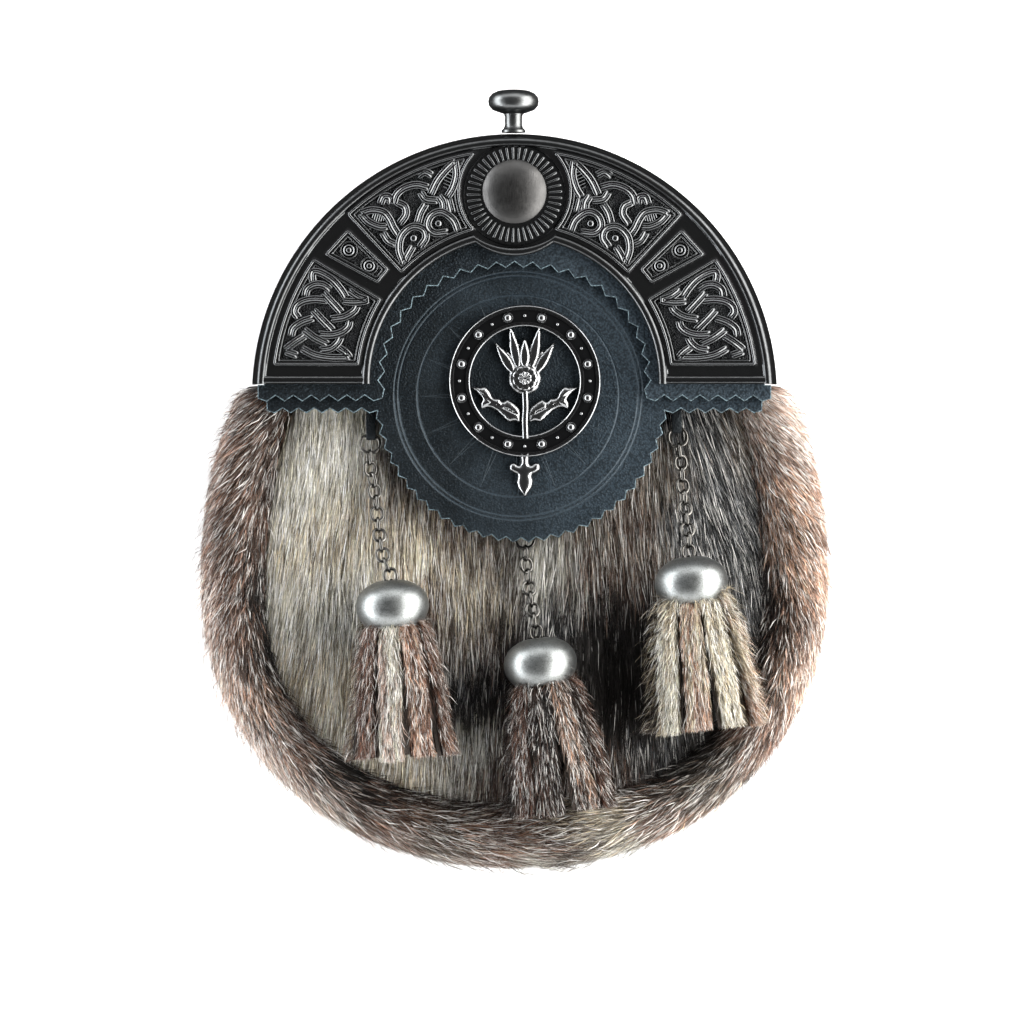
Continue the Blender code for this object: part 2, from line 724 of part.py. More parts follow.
def inner_radius(angle):
    """The cantle's inner edge along a ray from its centre: a round hole with a scallop at the top."""
    rise = math.sin(math.radians(angle))
    offset = CANTLE_INNER["y"] - RING_Y
    radius = offset * rise + math.sqrt((offset * rise) ** 2 - offset**2 + CANTLE_INNER["radius"] ** 2)
    offset = MEDALLION_Y - RING_Y
    inside = (offset * rise) ** 2 - offset**2 + SCALLOP_RADIUS**2
    if inside > 0:
        radius = min(radius, offset * rise - math.sqrt(inside))
    return radius


def cantle_section(anchor, direction, face_lift):
    """One section of the cantle, from its inner edge out to the skirt and back under the plate."""
    start = Vector(anchor)
    heading = Vector(direction)
    centre = Vector((0.0, RING_Y))

    def at_radius(radius):
        offset = start - centre
        along = offset.dot(heading)
        return start + heading * (math.sqrt(along**2 - offset.dot(offset) + radius**2) - along)

    section = []
    for row in CANTLE_LIP:
        spot = start + heading * row["inset"]
        section.append((spot.x, spot.y, CANTLE_LOW_Z + row["height"]))
    spot = start + heading * LIP_WIDTH
    section.append((spot.x, spot.y, CANTLE_FACE_Z + face_lift))
    for row_number, row in enumerate(CANTLE_RIM):
        spot = at_radius(row["radius"])
        lift = face_lift if row_number == 0 else 0.0
        section.append((spot.x, spot.y, CANTLE_LOW_Z + row["height"] + lift))
    return section


def cantle_ring():
    """The cantle without its raised work, as a loft from its right end over the top to its left end."""
    right = []
    rim_top, rim_foot = BASE_RIM["width"], BASE_RIM["width"] + BASE_RIM["slope"]
    for rise, lift in ((0.0, BASE_RIM["height"]), (rim_top, BASE_RIM["height"]), (rim_foot, 0.0)):
        y = BASE_Y + rise
        drop = y - CANTLE_INNER["y"]
        edge_x = math.sqrt(CANTLE_INNER["radius"] ** 2 - drop**2)
        right.append(cantle_section((edge_x, y), (1.0, 0.0), lift))
    for angle in CANTLE_ANGLES:
        turn = math.radians(angle)
        heading = (math.cos(turn), math.sin(turn))
        right.append(cantle_section(ring_point(angle, inner_radius(angle)), heading, 0.0))
    middle = cantle_section(ring_point(90.0, inner_radius(90.0)), (0.0, 1.0), 0.0)
    left = [[(-x, y, z) for x, y, z in section] for section in reversed(right)]
    return loft(right + [middle] + left)


def panel_slabs():
    """The raised grounds of the three panels on the right."""
    rise = LOWER_PANEL["bottom_y"] - RING_Y
    ends = []
    for radius in (LOWER_PANEL["outer"], LOWER_PANEL["inner"]):
        ends.append(math.degrees(math.asin(rise / radius)))
    lower = arc(0.0, RING_Y, LOWER_PANEL["outer"], ends[0], LOWER_PANEL["end"], 4)
    lower += arc(0.0, RING_Y, LOWER_PANEL["inner"], LOWER_PANEL["end"], ends[1], 3)
    small = arc(0.0, RING_Y, SMALL_PANEL["outer"], SMALL_PANEL["start"], SMALL_PANEL["end"], 1)
    small += arc(0.0, RING_Y, SMALL_PANEL["inner"], SMALL_PANEL["end"], SMALL_PANEL["start"], 1)
    upper = arc(0.0, RING_Y, UPPER_PANEL["outer"], UPPER_PANEL["start"], UPPER_PANEL["end"], 4)
    hollow = PANEL_HOLLOW
    upper += arc(0.0, MEDALLION_Y, hollow["radius"], hollow["start"], hollow["end"], 5)
    upper += arc(0.0, RING_Y, UPPER_PANEL["inner"], UPPER_PANEL["inner_end"], UPPER_PANEL["start"], 4)
    low, high = CANTLE_FACE_Z - RELIEF_ROOT, CANTLE_FACE_Z + SLAB_HEIGHT
    return [prism(outline, low, high) for outline in (lower, small, upper)]


def strand_ridge(strand):
    """One oval of the knotwork, as a closed ridge with a sharp back."""
    turn = math.radians(strand["turn"])
    low, high = CANTLE_FACE_Z - RELIEF_ROOT / 2, CANTLE_FACE_Z + STRAND_HEIGHT
    rings = []
    for i in range(STRAND_STEPS):
        angle = 2 * math.pi * i / STRAND_STEPS
        ring = []
        for offset, z in ((-STRAND_WIDTH / 2, low), (0.0, high), (STRAND_WIDTH / 2, low)):
            along = (strand["long"] + offset) * math.cos(angle)
            across = (strand["short"] + offset) * math.sin(angle)
            tangent = along * math.cos(turn) - across * math.sin(turn)
            radial = along * math.sin(turn) + across * math.cos(turn)
            ring.append((*ring_point(strand["angle"], strand["radius"] + radial, tangent), z))
        rings.append(ring)
    return loft(rings, closed=True)


def roundel(row):
    x, y = ring_point(row["angle"], row["radius"])
    low, high = CANTLE_FACE_Z - RELIEF_ROOT / 2, CANTLE_FACE_Z + ROUNDEL_HEIGHT
    return stub((x, y), row["size"], low, high, ROUNDEL_SIDES)


def ray_star():
    """The ring of ribs round the boss, as one star."""
    outline = []
    for i in range(2 * RAYS["count"]):
        angle = math.pi * i / RAYS["count"]
        radius = RAYS["outer"] if i % 2 else RAYS["inner"]
        outline.append((radius * math.sin(angle), RAYS["y"] + radius * math.cos(angle)))
    return prism(outline, CANTLE_FACE_Z - RELIEF_ROOT, CANTLE_FACE_Z + RAYS["height"])


def build_cantle():
    cantle = add_mesh("cantle", cantle_ring(), DARK_NICKEL)
    slabs = both_sides(panel_slabs()) + [ray_star()]
    combine(cantle, add_mesh("panels", joined(slabs), DARK_NICKEL), "UNION")
    layers = [[strand_ridge(STRANDS[i]) for i in group] for group in ((0, 2), (1, 3))]
    layers[0] += [roundel(row) for row in ROUNDELS]
    for layer in layers:
        combine(cantle, add_mesh("knotwork", joined(both_sides(layer)), DARK_NICKEL), "UNION")


def build_boss():
    place = Matrix.Translation(Vector((0.0, MEDALLION_Y, CANTLE_FACE_Z + RAYS["height"] + TOUCH_GAP)) * MM)
    add_turned("boss", BOSS_PROFILE, BOSS_SIDES, BRUSHED_METAL, place)


def build_knob():
    """Its own Z axis points along Y, out of the top of the cantle's skirt."""
    place = Matrix.Translation(Vector((KNOB_X, KNOB_TOP_Y, KNOB_Z)) * MM)
    place = place @ Matrix.Rotation(math.radians(-90), 4, "X")
    add_turned("knob", KNOB_PROFILE, KNOB_SIDES, BRUSHED_METAL, place)


# ---------------------------------------------------------------- the badge


def build_badge():
    rings = []
    for i in range(BADGE["sides"]):
        angle = 2 * math.pi * i / BADGE["sides"]
        ring = []
        for row in BADGE_BAND:
            x = BADGE["x"] + row["radius"] * math.cos(angle)
            y = BADGE["y"] + row["radius"] * math.sin(angle)
            ring.append((x, y, BADGE_LOW_Z + row["height"]))
        rings.append(ring)
    badge = add_mesh("badge", loft(rings, closed=True), DARK_NICKEL)

    sheet_z = BADGE_LOW_Z + BADGE_SHEET_LIFT + BADGE_SHEET / 2
    place = Matrix.Translation(Vector((BADGE["x"], BADGE["y"], sheet_z)) * MM)
    for half in (THISTLE_HALF, DROP_HALF):
        right = [(row["x"], row["y"]) for row in half]
        left = [(-x, y) for x, y in reversed(right) if x > 0]
        sheet = add_plate("badge_sheet", [right + left], BADGE_SHEET, DARK_NICKEL, place)
        combine(badge, plate_to_mesh(sheet), "UNION")

    middle = (BADGE["x"], BADGE["y"] + THISTLE_BULB["y"])
    low, high = BADGE_LOW_Z + BADGE_SHEET / 2, BADGE_LOW_Z + THISTLE_BULB["height"]
    studs = [stub(middle, THISTLE_BULB["radius"], low, high, THISTLE_BULB["sides"])]
    for i in range(BADGE["studs"]):
        angle = 2 * math.pi * (i + 0.5) / BADGE["studs"]
        x = BADGE["x"] + STUD["circle"] * math.cos(angle)
        y = BADGE["y"] + STUD["circle"] * math.sin(angle)
        studs.append(stub((x, y), STUD["radius"], low, BADGE_LOW_Z + STUD["height"], STUD["sides"]))
    combine(badge, add_mesh("badge_studs", joined(studs), DARK_NICKEL), "UNION")


# ---------------------------------------------------------------- chains and tassels


def lean_directions(row):
    """The tassel's way down and its way across, in the plane of the front."""
    lean = math.radians(row["lean"])
    down = Vector((math.sin(lean), -math.cos(lean), 0.0))
    across = Vector((math.cos(lean), math.sin(lean), 0.0))
    return down, across


def bell_top(row):
    down = lean_directions(row)[0]
    return Vector((*row["bell"], BELL_AXIS_Z)) - down * BELL_HALF_LENGTH


def smooth_route(points, steps):
    """A dense curve through the points (Catmull-Rom)."""
    ends = [points[0] * 2 - points[1], *points, points[-1] * 2 - points[-2]]
    route = []
    for a, b, c, d in zip(ends, ends[1:], ends[2:], ends[3:]):
        for i in range(steps):
            t = i / steps
            bend = (2 * a - 5 * b + 4 * c - d) * t**2 + (3 * b - a - 3 * c + d) * t**3
            route.append(0.5 * (2 * b + (c - a) * t + bend))
    route.append(points[-1])
    return route


def chain_route(row):
    """From the tab's hole, along the fur and up into the bell, as a dense line."""
    down = lean_directions(row)[0]
    top = bell_top(row)
    start = Vector((row["tab"][0], row["tab"][1] + TAB["hole_from_end"], TAB["low_z"] + TAB["thick"] / 2))
    mouth = top - down * CHAIN_STRAIGHT
    points = [start]
    for x, y in row["way"]:
        left = math.dist((x, y), (mouth.x, mouth.y))
        rise = smooth_step(1.0 - left / CHAIN_RISE_LENGTH)
        points.append(Vector((x, y, CHAIN_LOW_Z + (BELL_AXIS_Z - CHAIN_LOW_Z) * rise)))
    return smooth_route([*points, mouth, top + down * CHAIN_END_DEPTH], ROUTE_STEPS)


def route_length(route):
    return sum((b - a).length for a, b in zip(route, route[1:]))


def place_on_route(route, distance):
    """The point and heading at a distance along a dense line."""
    for a, b in zip(route, route[1:]):
        step = (b - a).length
        if distance <= step:
            break
        distance -= step
    heading = (b - a).normalized()
    return a + heading * distance, heading


def link_body(centre, heading, flat, shape, inside_long):
    """One link. A flat link lies in the plane of the front, the next one stands across it."""
    side = heading.cross(Vector((0.0, 0.0, 1.0))).normalized()
    normal = side.cross(heading)
    if not flat:
        side, normal = normal, -side
    half_step = math.pi / shape["sides"]
    long = (inside_long / 2 + WIRE_RADIUS) / math.cos(half_step)
    wide = (shape["inside_wide"] / 2 + WIRE_RADIUS) / math.cos(half_step)
    rings = []
    for i in range(shape["sides"]):
        angle = 2 * half_step * (i + 0.5)
        spot = centre + heading * long * math.cos(angle) + side * wide * math.sin(angle)
        outward = (heading * math.cos(angle) / long + side * math.sin(angle) / wide).normalized()
        ring = []
        for j in range(WIRE_SIDES):
            turn = math.pi + 2 * math.pi * j / WIRE_SIDES
            ring.append(tuple(spot + (outward * math.cos(turn) + normal * math.sin(turn)) * WIRE_RADIUS))
        rings.append(ring)
    return loft(rings, closed=True)


def chain_plan(row):
    """How many links the chain has, how long each is inside, and where the middle of each lies."""
    route = chain_route(row)
    total = route_length(route)
    first = TOP_LINK["inside_long"]
    pitch = LINK["inside_long"] + LINK_BITE
    rest = total - first - WIRE_RADIUS
    count = round(rest / pitch)
    inside = (rest - WIRE_RADIUS) / count - LINK_BITE
    middles = [WIRE_RADIUS + first / 2]
    for i in range(count):
        reach = (first if i == 0 else inside) / 2
        middles.append(middles[-1] + reach + inside / 2 + LINK_BITE)
    return route, inside, middles


def build_chain(row):
    """Every other link is in one set, so that the links of a set are clear of each other."""
    route, inside, middles = chain_plan(row)
    sets = ([], [])
    for number, distance in enumerate(middles):
        centre, heading = place_on_route(route, distance)
        shape = LINK if number else TOP_LINK
        long = inside if number else TOP_LINK["inside_long"]
        sets[number % 2].append(link_body(centre, heading, number % 2 == 0, shape, long))
    chain = add_mesh("chain_" + row["name"], joined(sets[0]), CHAIN_STEEL)
    combine(chain, add_mesh("other_links", joined(sets[1]), CHAIN_STEEL), "UNION")


def build_tab(row):
    """A strip folded round the top link, seen from its side as a flat eye."""
    x, low = row["tab"]
    thick, length = TAB["thick"], row["tab_length"]
    outline = [(low + length, -thick / 2), (low + length, thick / 2)]
    outline += arc(low + thick / 2, 0.0, thick / 2, 90.0, 270.0, 6)
    hole = arc(low + TAB["hole_from_end"], 0.0, TAB["hole"], 0.0, 315.0, 7)
    axes = Matrix(((0, 0, 1), (1, 0, 0), (0, 1, 0))).to_4x4()
    place = Matrix.Translation(Vector((x, 0.0, TAB["low_z"] + thick / 2)) * MM) @ axes
    add_plate("chain_loop_" + row["name"], [outline, hole], TAB["width"], BLACK_LEATHER, place)


def build_bell(row):
    down, across = lean_directions(row)
    up = -down
    out = across.cross(up)
    place = Matrix((across, out, up)).transposed().to_4x4()
    place = Matrix.Translation(Vector((*row["bell"], BELL_AXIS_Z)) * MM) @ place
    add_turned("bell_" + row["name"], BELL_PROFILE, BELL_SIDES, BRUSHED_METAL, place, closed=True)


def staple(row):
    """The square wire bow that holds the tassel's head to the last link of its chain."""
    down, across = lean_directions(row)
    out = Vector((0.0, 0.0, 1.0))
    top = bell_top(row)
    route, inside, middles = chain_plan(row)
    centre = place_on_route(route, middles[-1])[0]
    last_is_flat = (len(middles) - 1) % 2 == 0
    spread, normal = (out, across) if last_is_flat else (across, out)
    half_wire, half_gap = STAPLE["radius"], STAPLE["half_gap"]
    bow = (centre - top).dot(down) + inside / 2 - TOUCH_GAP - half_wire
    foot = TASSEL_PROFILE[0]["along"] + STAPLE["root"]
    sections = []
    for side, along, rise in ((-1, foot, 0), (-1, bow, 1), (1, bow, 1), (1, foot, 0)):
        section = []
        for reach, depth in ((1, 1), (1, -1), (-1, -1), (-1, 1)):
            spot = top + spread * side * (half_gap + reach * half_wire)
            spot += down * (along - reach * rise * half_wire)
            section.append(tuple(spot + normal * depth * half_wire))
        sections.append(section)
    return loft(sections)


def build_tassel(row):
    """Nine strips round a head. Each strip has two edges, with a groove between it and the next."""
    down, across = lean_directions(row)
    out = Vector((0.0, 0.0, 1.0))
    top = bell_top(row)
    rings = []
    for number, level in enumerate(TASSEL_PROFILE):
        stretch = row["stretch"] if number >= TASSEL_HEAD_ROWS else 1.0
        along = level["along"] * stretch
        ring = []
        for strip in range(TASSEL_STRIPS):
            for share, groove in ((0.0, level["groove"]), (STRIP_EDGES[0], 0.0), (STRIP_EDGES[1], 0.0)):
                angle = 2 * math.pi * (strip + share) / TASSEL_STRIPS
                wide = level["wide"] * (1 - groove) * math.cos(angle)
                thick = level["thick"] * (1 - groove) * math.sin(angle)
                ring.append(tuple(top + down * along + across * wide + out * thick))
        rings.append(ring)
    tassel = add_mesh("tassel_" + row["name"], loft(rings), TASSEL_FUR)
    combine(tassel, add_mesh("staple", staple(row), TASSEL_FUR), "UNION")


def build():
    build_back_panel()
    build_gusset()
    build_front_panel()
    build_top_gussets()
    build_strap_keepers()
    build_flap()
    build_cantle_backing()
    build_cantle()
    build_boss()
    build_knob()
    build_badge()
    for row in TASSELS:
        build_tab(row)
        build_chain(row)
        build_bell(row)
        build_tassel(row)


build()
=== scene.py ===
"""The looks of the sporran pouch: fur, leather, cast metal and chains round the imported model.

Sizes are in millimetres, as in the part's source, and the functions that make pieces turn them into metres.
X runs to the right of the front, Y up to the knob and Z out of the front, and the back lies on Z = 0.
"""

import math

import bmesh
import bpy
import mathutils
import numpy as np
from mathutils import Matrix, Vector


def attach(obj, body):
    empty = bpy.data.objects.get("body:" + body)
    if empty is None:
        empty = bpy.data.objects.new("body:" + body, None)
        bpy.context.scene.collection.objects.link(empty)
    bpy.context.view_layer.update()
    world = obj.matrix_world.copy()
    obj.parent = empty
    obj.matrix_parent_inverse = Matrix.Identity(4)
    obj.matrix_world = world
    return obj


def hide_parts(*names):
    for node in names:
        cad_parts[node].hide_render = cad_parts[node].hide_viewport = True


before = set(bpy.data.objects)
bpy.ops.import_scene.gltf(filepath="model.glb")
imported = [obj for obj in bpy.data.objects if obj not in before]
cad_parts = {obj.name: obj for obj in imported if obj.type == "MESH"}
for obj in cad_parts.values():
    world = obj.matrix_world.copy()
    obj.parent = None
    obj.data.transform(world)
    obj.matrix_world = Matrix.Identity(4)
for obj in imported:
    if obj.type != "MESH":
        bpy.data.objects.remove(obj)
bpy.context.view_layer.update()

MM = 0.001

# ---- Sizes that the part's source gives ----
OUTLINE = {"middle_y": -30.0, "half_width": 95.0, "up": 112.0, "down": 87.3, "squareness": 2.1}
SEAM = {"middle_y": -36.0, "half_width": 75.5, "up": 118.0, "down": 62.4, "squareness": 2.25}
GUSSET_TOP_Y = 28.4
GUSSET_SEAM_DEPTH = 19.0
GUSSET_CORE = (9.5, 17.0)
TOUCH_GAP = 0.3
LEATHER = 2.0
BACK_LOW_Z = 6.6
BACK_EDGE_DEPTH = 7.9
TOP_EDGE_RADIUS = 73.2
KEEPER = {"x": 52.0, "width": 16.0, "thick": 1.8}
KEEPER_FEET = (24.0, 60.0)
FRONT_Z = 31.0
FRONT_EDGE_Z = 26.4
FRONT_WALL = 2.4
FRONT_TOP_Y = 44.0
FRONT_RAMP = (26.0, 40.0)
FRONT_ROUNDNESS = 9
LOCK_RELIEF = 1.6
RING_Y = 25.2
BASE_Y = 28.8
MEDALLION_Y = 86.3
FLAP_LOW_Z = 34.6
FLAP_RADIUS = 74.5
FLAP_DISC = {"x": 2.0, "y": 25.3, "radius": 43.4}
FLAP_WING_Y = 20.8
FLAP_TOOTH = {"pitch": 4.5, "depth": 1.5}
BACKING_LOW_Z = 36.9
BACKING_RADIUS = 75.2
BACKING_HALF_WIDTH = 77.0
BACKING_BOTTOM_Y = 24.4
BACKING_INNER = {"y": 29.4, "side_radius": 39.9, "top_radius": 35.2, "below": 7.0}
BACKING_TOOTH = {"pitch": 5.3, "depth": 1.8}
CANTLE_LOW_Z = 39.2
CANTLE_FACE_Z = 41.2
CANTLE_INNER = {"y": 29.4, "radius": 43.2}
SCALLOP_RADIUS = 19.2
KNOB = {"x": -0.3, "top_y": 117.3, "z": 35.0}
BADGE = {"x": 3.1, "y": 29.7, "low_z": 36.9}
CHAIN_LOW_Z = 34.0
CHAIN_RISE_LENGTH = 20.0
CHAIN_STRAIGHT = 1.5
CHAIN_END_DEPTH = 4.2
TAB = {"thick": 3.0, "low_z": 31.3, "hole_from_end": 1.5}
LINK = {"inside_long": 3.42, "inside_wide": 2.9}
TOP_LINK = {"inside_long": 4.6, "inside_wide": 4.8}
WIRE_RADIUS = 0.4
LINK_BITE = 0.14
BELL_AXIS_Z = 41.8
BELL_HALF_LENGTH = 7.0
TASSEL_STRIPS = 9

# The lower end of each tassel's tab, the chain's way from there, the bell's middle, the lean,
# the stretch, how far the hair at the sides stands off and how much paler or darker the hair is
TASSELS = (
    {
        "name": "left",
        "tab": (-43.2, 12.0),
        "way": ((-43.6, 5.0), (-41.9, -4.4), (-41.0, -13.0), (-39.6, -22.0)),
        "bell": (-36.6, -36.9),
        "lean": 4.0,
        "stretch": 1.0,
        "bristle": 0.9,
        "shade": -0.35,
    },
    {
        "name": "middle",
        "tab": (3.0, -16.6),
        "way": ((3.6, -26.0), (4.8, -35.0), (6.0, -42.0)),
        "bell": (7.6, -54.2),
        "lean": 8.0,
        "stretch": 0.99,
        "bristle": 1.2,
        "shade": -0.5,
    },
    {
        "name": "right",
        "tab": (48.8, 14.0),
        "way": ((49.8, 6.5), (50.6, -2.0), (51.6, -11.0), (52.1, -17.5)),
        "bell": (52.9, -29.9),
        "lean": 6.0,
        "stretch": 0.98,
        "bristle": 2.2,
        "shade": -0.12,
    },
)

# ---- The view: straight down on the front, with the frame's middle a little below the origin ----
VIEW = {"x": -0.75, "y": -9.6, "width": 307.2, "sharp_z": 38.0, "distance": 1900.0, "sensor": 36.0}

# ---- Coats of fur ----

# A hair's colour at its root, along it and at its tip, 0 to 255, and the share of white hairs
COATS = {
    "cream": {"root": (96, 84, 66), "body": (190, 184, 164), "tip": (236, 233, 222), "white": 0.35},
    "golden": {"root": (84, 66, 48), "body": (178, 164, 140), "tip": (234, 226, 208), "white": 0.18},
    "silver": {"root": (34, 32, 29), "body": (130, 127, 116), "tip": (230, 229, 220), "white": 0.26},
    "grey_brown": {"root": (22, 18, 15), "body": (76, 66, 57), "tip": (176, 168, 156), "white": 0.15},
    "umber": {"root": (16, 11, 9), "body": (58, 44, 37), "tip": (138, 120, 108), "white": 0.13},
    "slate": {"root": (5, 5, 6), "body": (24, 25, 26), "tip": (140, 142, 144), "white": 0.15},
    "black_brown": {"root": (5, 4, 4), "body": (20, 18, 17), "tip": (70, 68, 66), "white": 0.014},
    "badger": {"root": (12, 9, 7), "body": (50, 35, 28), "tip": (146, 124, 112), "white": 0.18},
    "red_brown": {"root": (30, 19, 15), "body": (98, 72, 59), "tip": (190, 166, 150), "white": 0.18},
    "tan": {"root": (74, 48, 35), "body": (158, 124, 103), "tip": (230, 208, 192), "white": 0.22},
    "russet": {"root": (30, 17, 12), "body": (96, 64, 50), "tip": (190, 158, 140), "white": 0.14},
    "rose": {"root": (92, 69, 57), "body": (173, 147, 132), "tip": (240, 228, 218), "white": 0.34},
}


def patch_rows(*rows):
    """Patches of fur, each with the place of its middle, how far it reaches and its coat."""
    return [dict(zip(("x", "y", "reach", "coat"), row)) for row in rows]


# Where each coat lies on the front panel
FRONT_PATCHES = patch_rows(
    (-62, 14, 10, "cream"), (-54, 6, 9, "cream"), (-64, -4, 9, "cream"), (-50, -10, 8, "golden"),
    (-60, -20, 9, "golden"), (-52, -28, 8, "cream"), (-66, -34, 9, "cream"), (-56, -42, 8, "silver"),
    (-64, -54, 9, "golden"), (-54, -58, 8, "golden"), (-56, -72, 8, "golden"), (-50, -80, 8, "cream"),
    (-42, -88, 8, "golden"), (-32, -90, 8, "golden"), (-22, -94, 8, "silver"), (-14, -88, 8, "umber"),
    (-38, 6, 6, "grey_brown"), (-36, -6, 7, "grey_brown"), (-40, -16, 7, "golden"), (-30, -16, 7, "golden"),
    (-32, -24, 7, "golden"), (-22, -14, 6, "umber"), (-14, -19, 6, "grey_brown"), (-24, -32, 7, "umber"),
    (-18, -24, 6, "golden"), (-12, -34, 7, "golden"), (-18, -44, 7, "grey_brown"),
    (-4, -30, 6, "grey_brown"), (-8, -46, 6, "umber"), (0, -44, 6, "black_brown"), (-14, -56, 7, "slate"),
    (-18, -66, 6, "black_brown"), (-8, -66, 7, "black_brown"), (-12, -78, 7, "silver"),
    (-2, -84, 7, "umber"), (4, -96, 8, "umber"), (12, -26, 7, "silver"), (12, -38, 7, "slate"),
    (26, -15, 6, "grey_brown"), (22, -25, 7, "umber"), (32, -26, 7, "umber"), (24, -40, 9, "black_brown"),
    (36, -44, 9, "black_brown"), (26, -58, 10, "black_brown"), (34, -72, 10, "black_brown"),
    (30, -88, 8, "umber"), (42, -80, 8, "slate"), (50, -76, 8, "black_brown"), (36, -10, 6, "umber"),
    (40, -20, 6, "grey_brown"), (42, 2, 6, "grey_brown"), (50, -10, 7, "slate"), (55, 12, 6, "slate"),
    (62, 4, 6, "slate"), (60, -10, 7, "slate"), (68, 12, 6, "grey_brown"), (70, -8, 7, "slate"),
    (66, -22, 7, "slate"), (72, -30, 7, "slate"), (72, -44, 7, "slate"), (68, -60, 8, "black_brown"),
)

# The same for the gusset, where inner patches lie beside the seam and outer ones beyond the roll
GUSSET_PATCHES = patch_rows(
    (-74, 22, 8, "umber"), (-84, 18, 9, "red_brown"), (-78, 6, 8, "umber"), (-88, 4, 8, "red_brown"),
    (-75, -10, 7, "red_brown"), (-84, -12, 8, "umber"), (-94, -14, 8, "red_brown"),
    (-77, -30, 7, "black_brown"), (-86, -30, 8, "red_brown"), (-96, -34, 8, "rose"),
    (-76, -48, 7, "black_brown"), (-85, -46, 7, "red_brown"), (-93, -52, 8, "rose"), (-72, -62, 8, "umber"),
    (-82, -64, 7, "tan"), (-90, -70, 8, "rose"), (-66, -76, 7, "red_brown"), (-76, -80, 7, "rose"),
    (-80, -90, 8, "rose"), (-58, -86, 7, "black_brown"), (-64, -94, 7, "rose"), (-66, -104, 8, "cream"),
    (-46, -94, 7, "black_brown"), (-46, -103, 8, "red_brown"), (-48, -114, 7, "rose"),
    (-30, -100, 7, "umber"), (-28, -110, 8, "grey_brown"), (-24, -119, 6, "rose"), (-10, -101, 7, "umber"),
    (-8, -109, 8, "red_brown"), (-2, -118, 6, "silver"), (8, -103, 7, "umber"), (18, -98, 6, "golden"),
    (24, -107, 8, "grey_brown"), (32, -100, 7, "golden"), (40, -94, 7, "umber"), (40, -108, 7, "silver"),
    (48, -100, 7, "red_brown"), (52, -88, 7, "black_brown"), (58, -94, 7, "grey_brown"),
    (62, -102, 7, "tan"), (62, -80, 7, "black_brown"), (68, -86, 7, "grey_brown"),
    (78, -90, 8, "red_brown"), (74, -72, 7, "red_brown"), (84, -76, 8, "red_brown"),
    (75, -58, 7, "black_brown"), (84, -58, 7, "tan"), (94, -54, 8, "rose"), (77, -42, 7, "black_brown"),
    (86, -40, 7, "red_brown"), (96, -34, 8, "tan"), (76, -26, 7, "black_brown"), (85, -22, 8, "tan"),
    (95, -12, 8, "red_brown"), (75, -8, 7, "umber"), (83, -2, 8, "tan"), (92, 6, 8, "red_brown"),
    (74, 10, 7, "red_brown"), (82, 16, 8, "rose"), (76, 24, 8, "rose"),
)

# Two coats for each of a tassel's strips, from the one at the right of the front round to the back
TASSEL_COATS = {
    "left": (
        ("russet", "red_brown"), ("russet", "tan"), ("cream", "rose"), ("russet", "red_brown"),
        ("red_brown", "umber"), ("umber", "umber"), ("umber", "red_brown"), ("umber", "umber"),
        ("red_brown", "umber"),
    ),
    "middle": (
        ("badger", "russet"), ("badger", "tan"), ("badger", "black_brown"), ("badger", "russet"),
        ("umber", "black_brown"), ("black_brown", "umber"), ("umber", "umber"), ("black_brown", "umber"),
        ("umber", "red_brown"),
    ),
    "right": (
        ("golden", "tan"), ("cream", "golden"), ("golden", "tan"), ("golden", "cream"),
        ("golden", "grey_brown"), ("grey_brown", "umber"), ("grey_brown", "golden"),
        ("grey_brown", "umber"), ("golden", "grey_brown"),
    ),
}

# ---- Fur ----

# Places along a hair from its root to its tip, and its width at those below the tip
HAIR_LEVELS = (0.0, 0.5, 1.0)
HAIR_WIDTHS = (0.85, 1.0)
CLUMP = {"along": 7.0, "across": 0.85}
WHITE_HAIR = (250, 247, 242)

# Hairs for each piece: how many, their length, rise and width, how much length and rise vary, how much they
# bend in radians, how far they lean towards the middle of their clump, and the share of stray hairs and how
# much higher those rise
GUSSET_FUR = {"hairs": 104000, "length": 7.4, "rise": 2.6, "width": 0.19, "seed": 11}
GUSSET_FUR |= {"lengths": (0.55, 1.25), "rises": (0.25, 1.2), "bend": 0.07, "pull": (0.0, 0.35)}
GUSSET_FUR |= {"stray": (0.09, 2.0)}
FRONT_FUR = {"hairs": 86000, "length": 13.0, "rise": 1.6, "width": 0.17, "seed": 23}
FRONT_FUR |= {"lengths": (0.55, 1.2), "rises": (0.2, 1.15), "bend": 0.05, "pull": (0.4, 0.9)}
TASSEL_FUR = {"front_hairs": 2700, "back_hairs": 700, "length": 5.4, "rise": 1.5, "width": 0.16, "seed": 37}
TASSEL_FUR |= {"lengths": (0.45, 1.3), "rises": (0.2, 1.3), "bend": 0.1, "stray": (0.07, 1.5)}

# The surfaces that hairs grow on: steps, the width round the roll, the share of it that has hairs and how
# they crowd towards the seam, and the front's sides and the part of it that has roots
GUSSET_SURFACE = {"steps": 400, "width": 62.0, "covered": 0.9, "crowding": 1.15}
FRONT_SURFACE = {"top": 46.0, "bottom": -112.0, "half_width": 84.0, "rows": 160, "columns": 170}
FRONT_ROOTS = {"x": (-78, 78), "y": (-100, 34), "spare": 2.1, "under_disc": 15, "under_wings": 14}

# The gusset's lean from straight down, in degrees by the height on the front, and how it grows outwards
GUSSET_LEAN = {"y": (-117, -85, -40, 0, 28), "degrees": (-4, 2, 10, 20, 28), "outwards": 18}

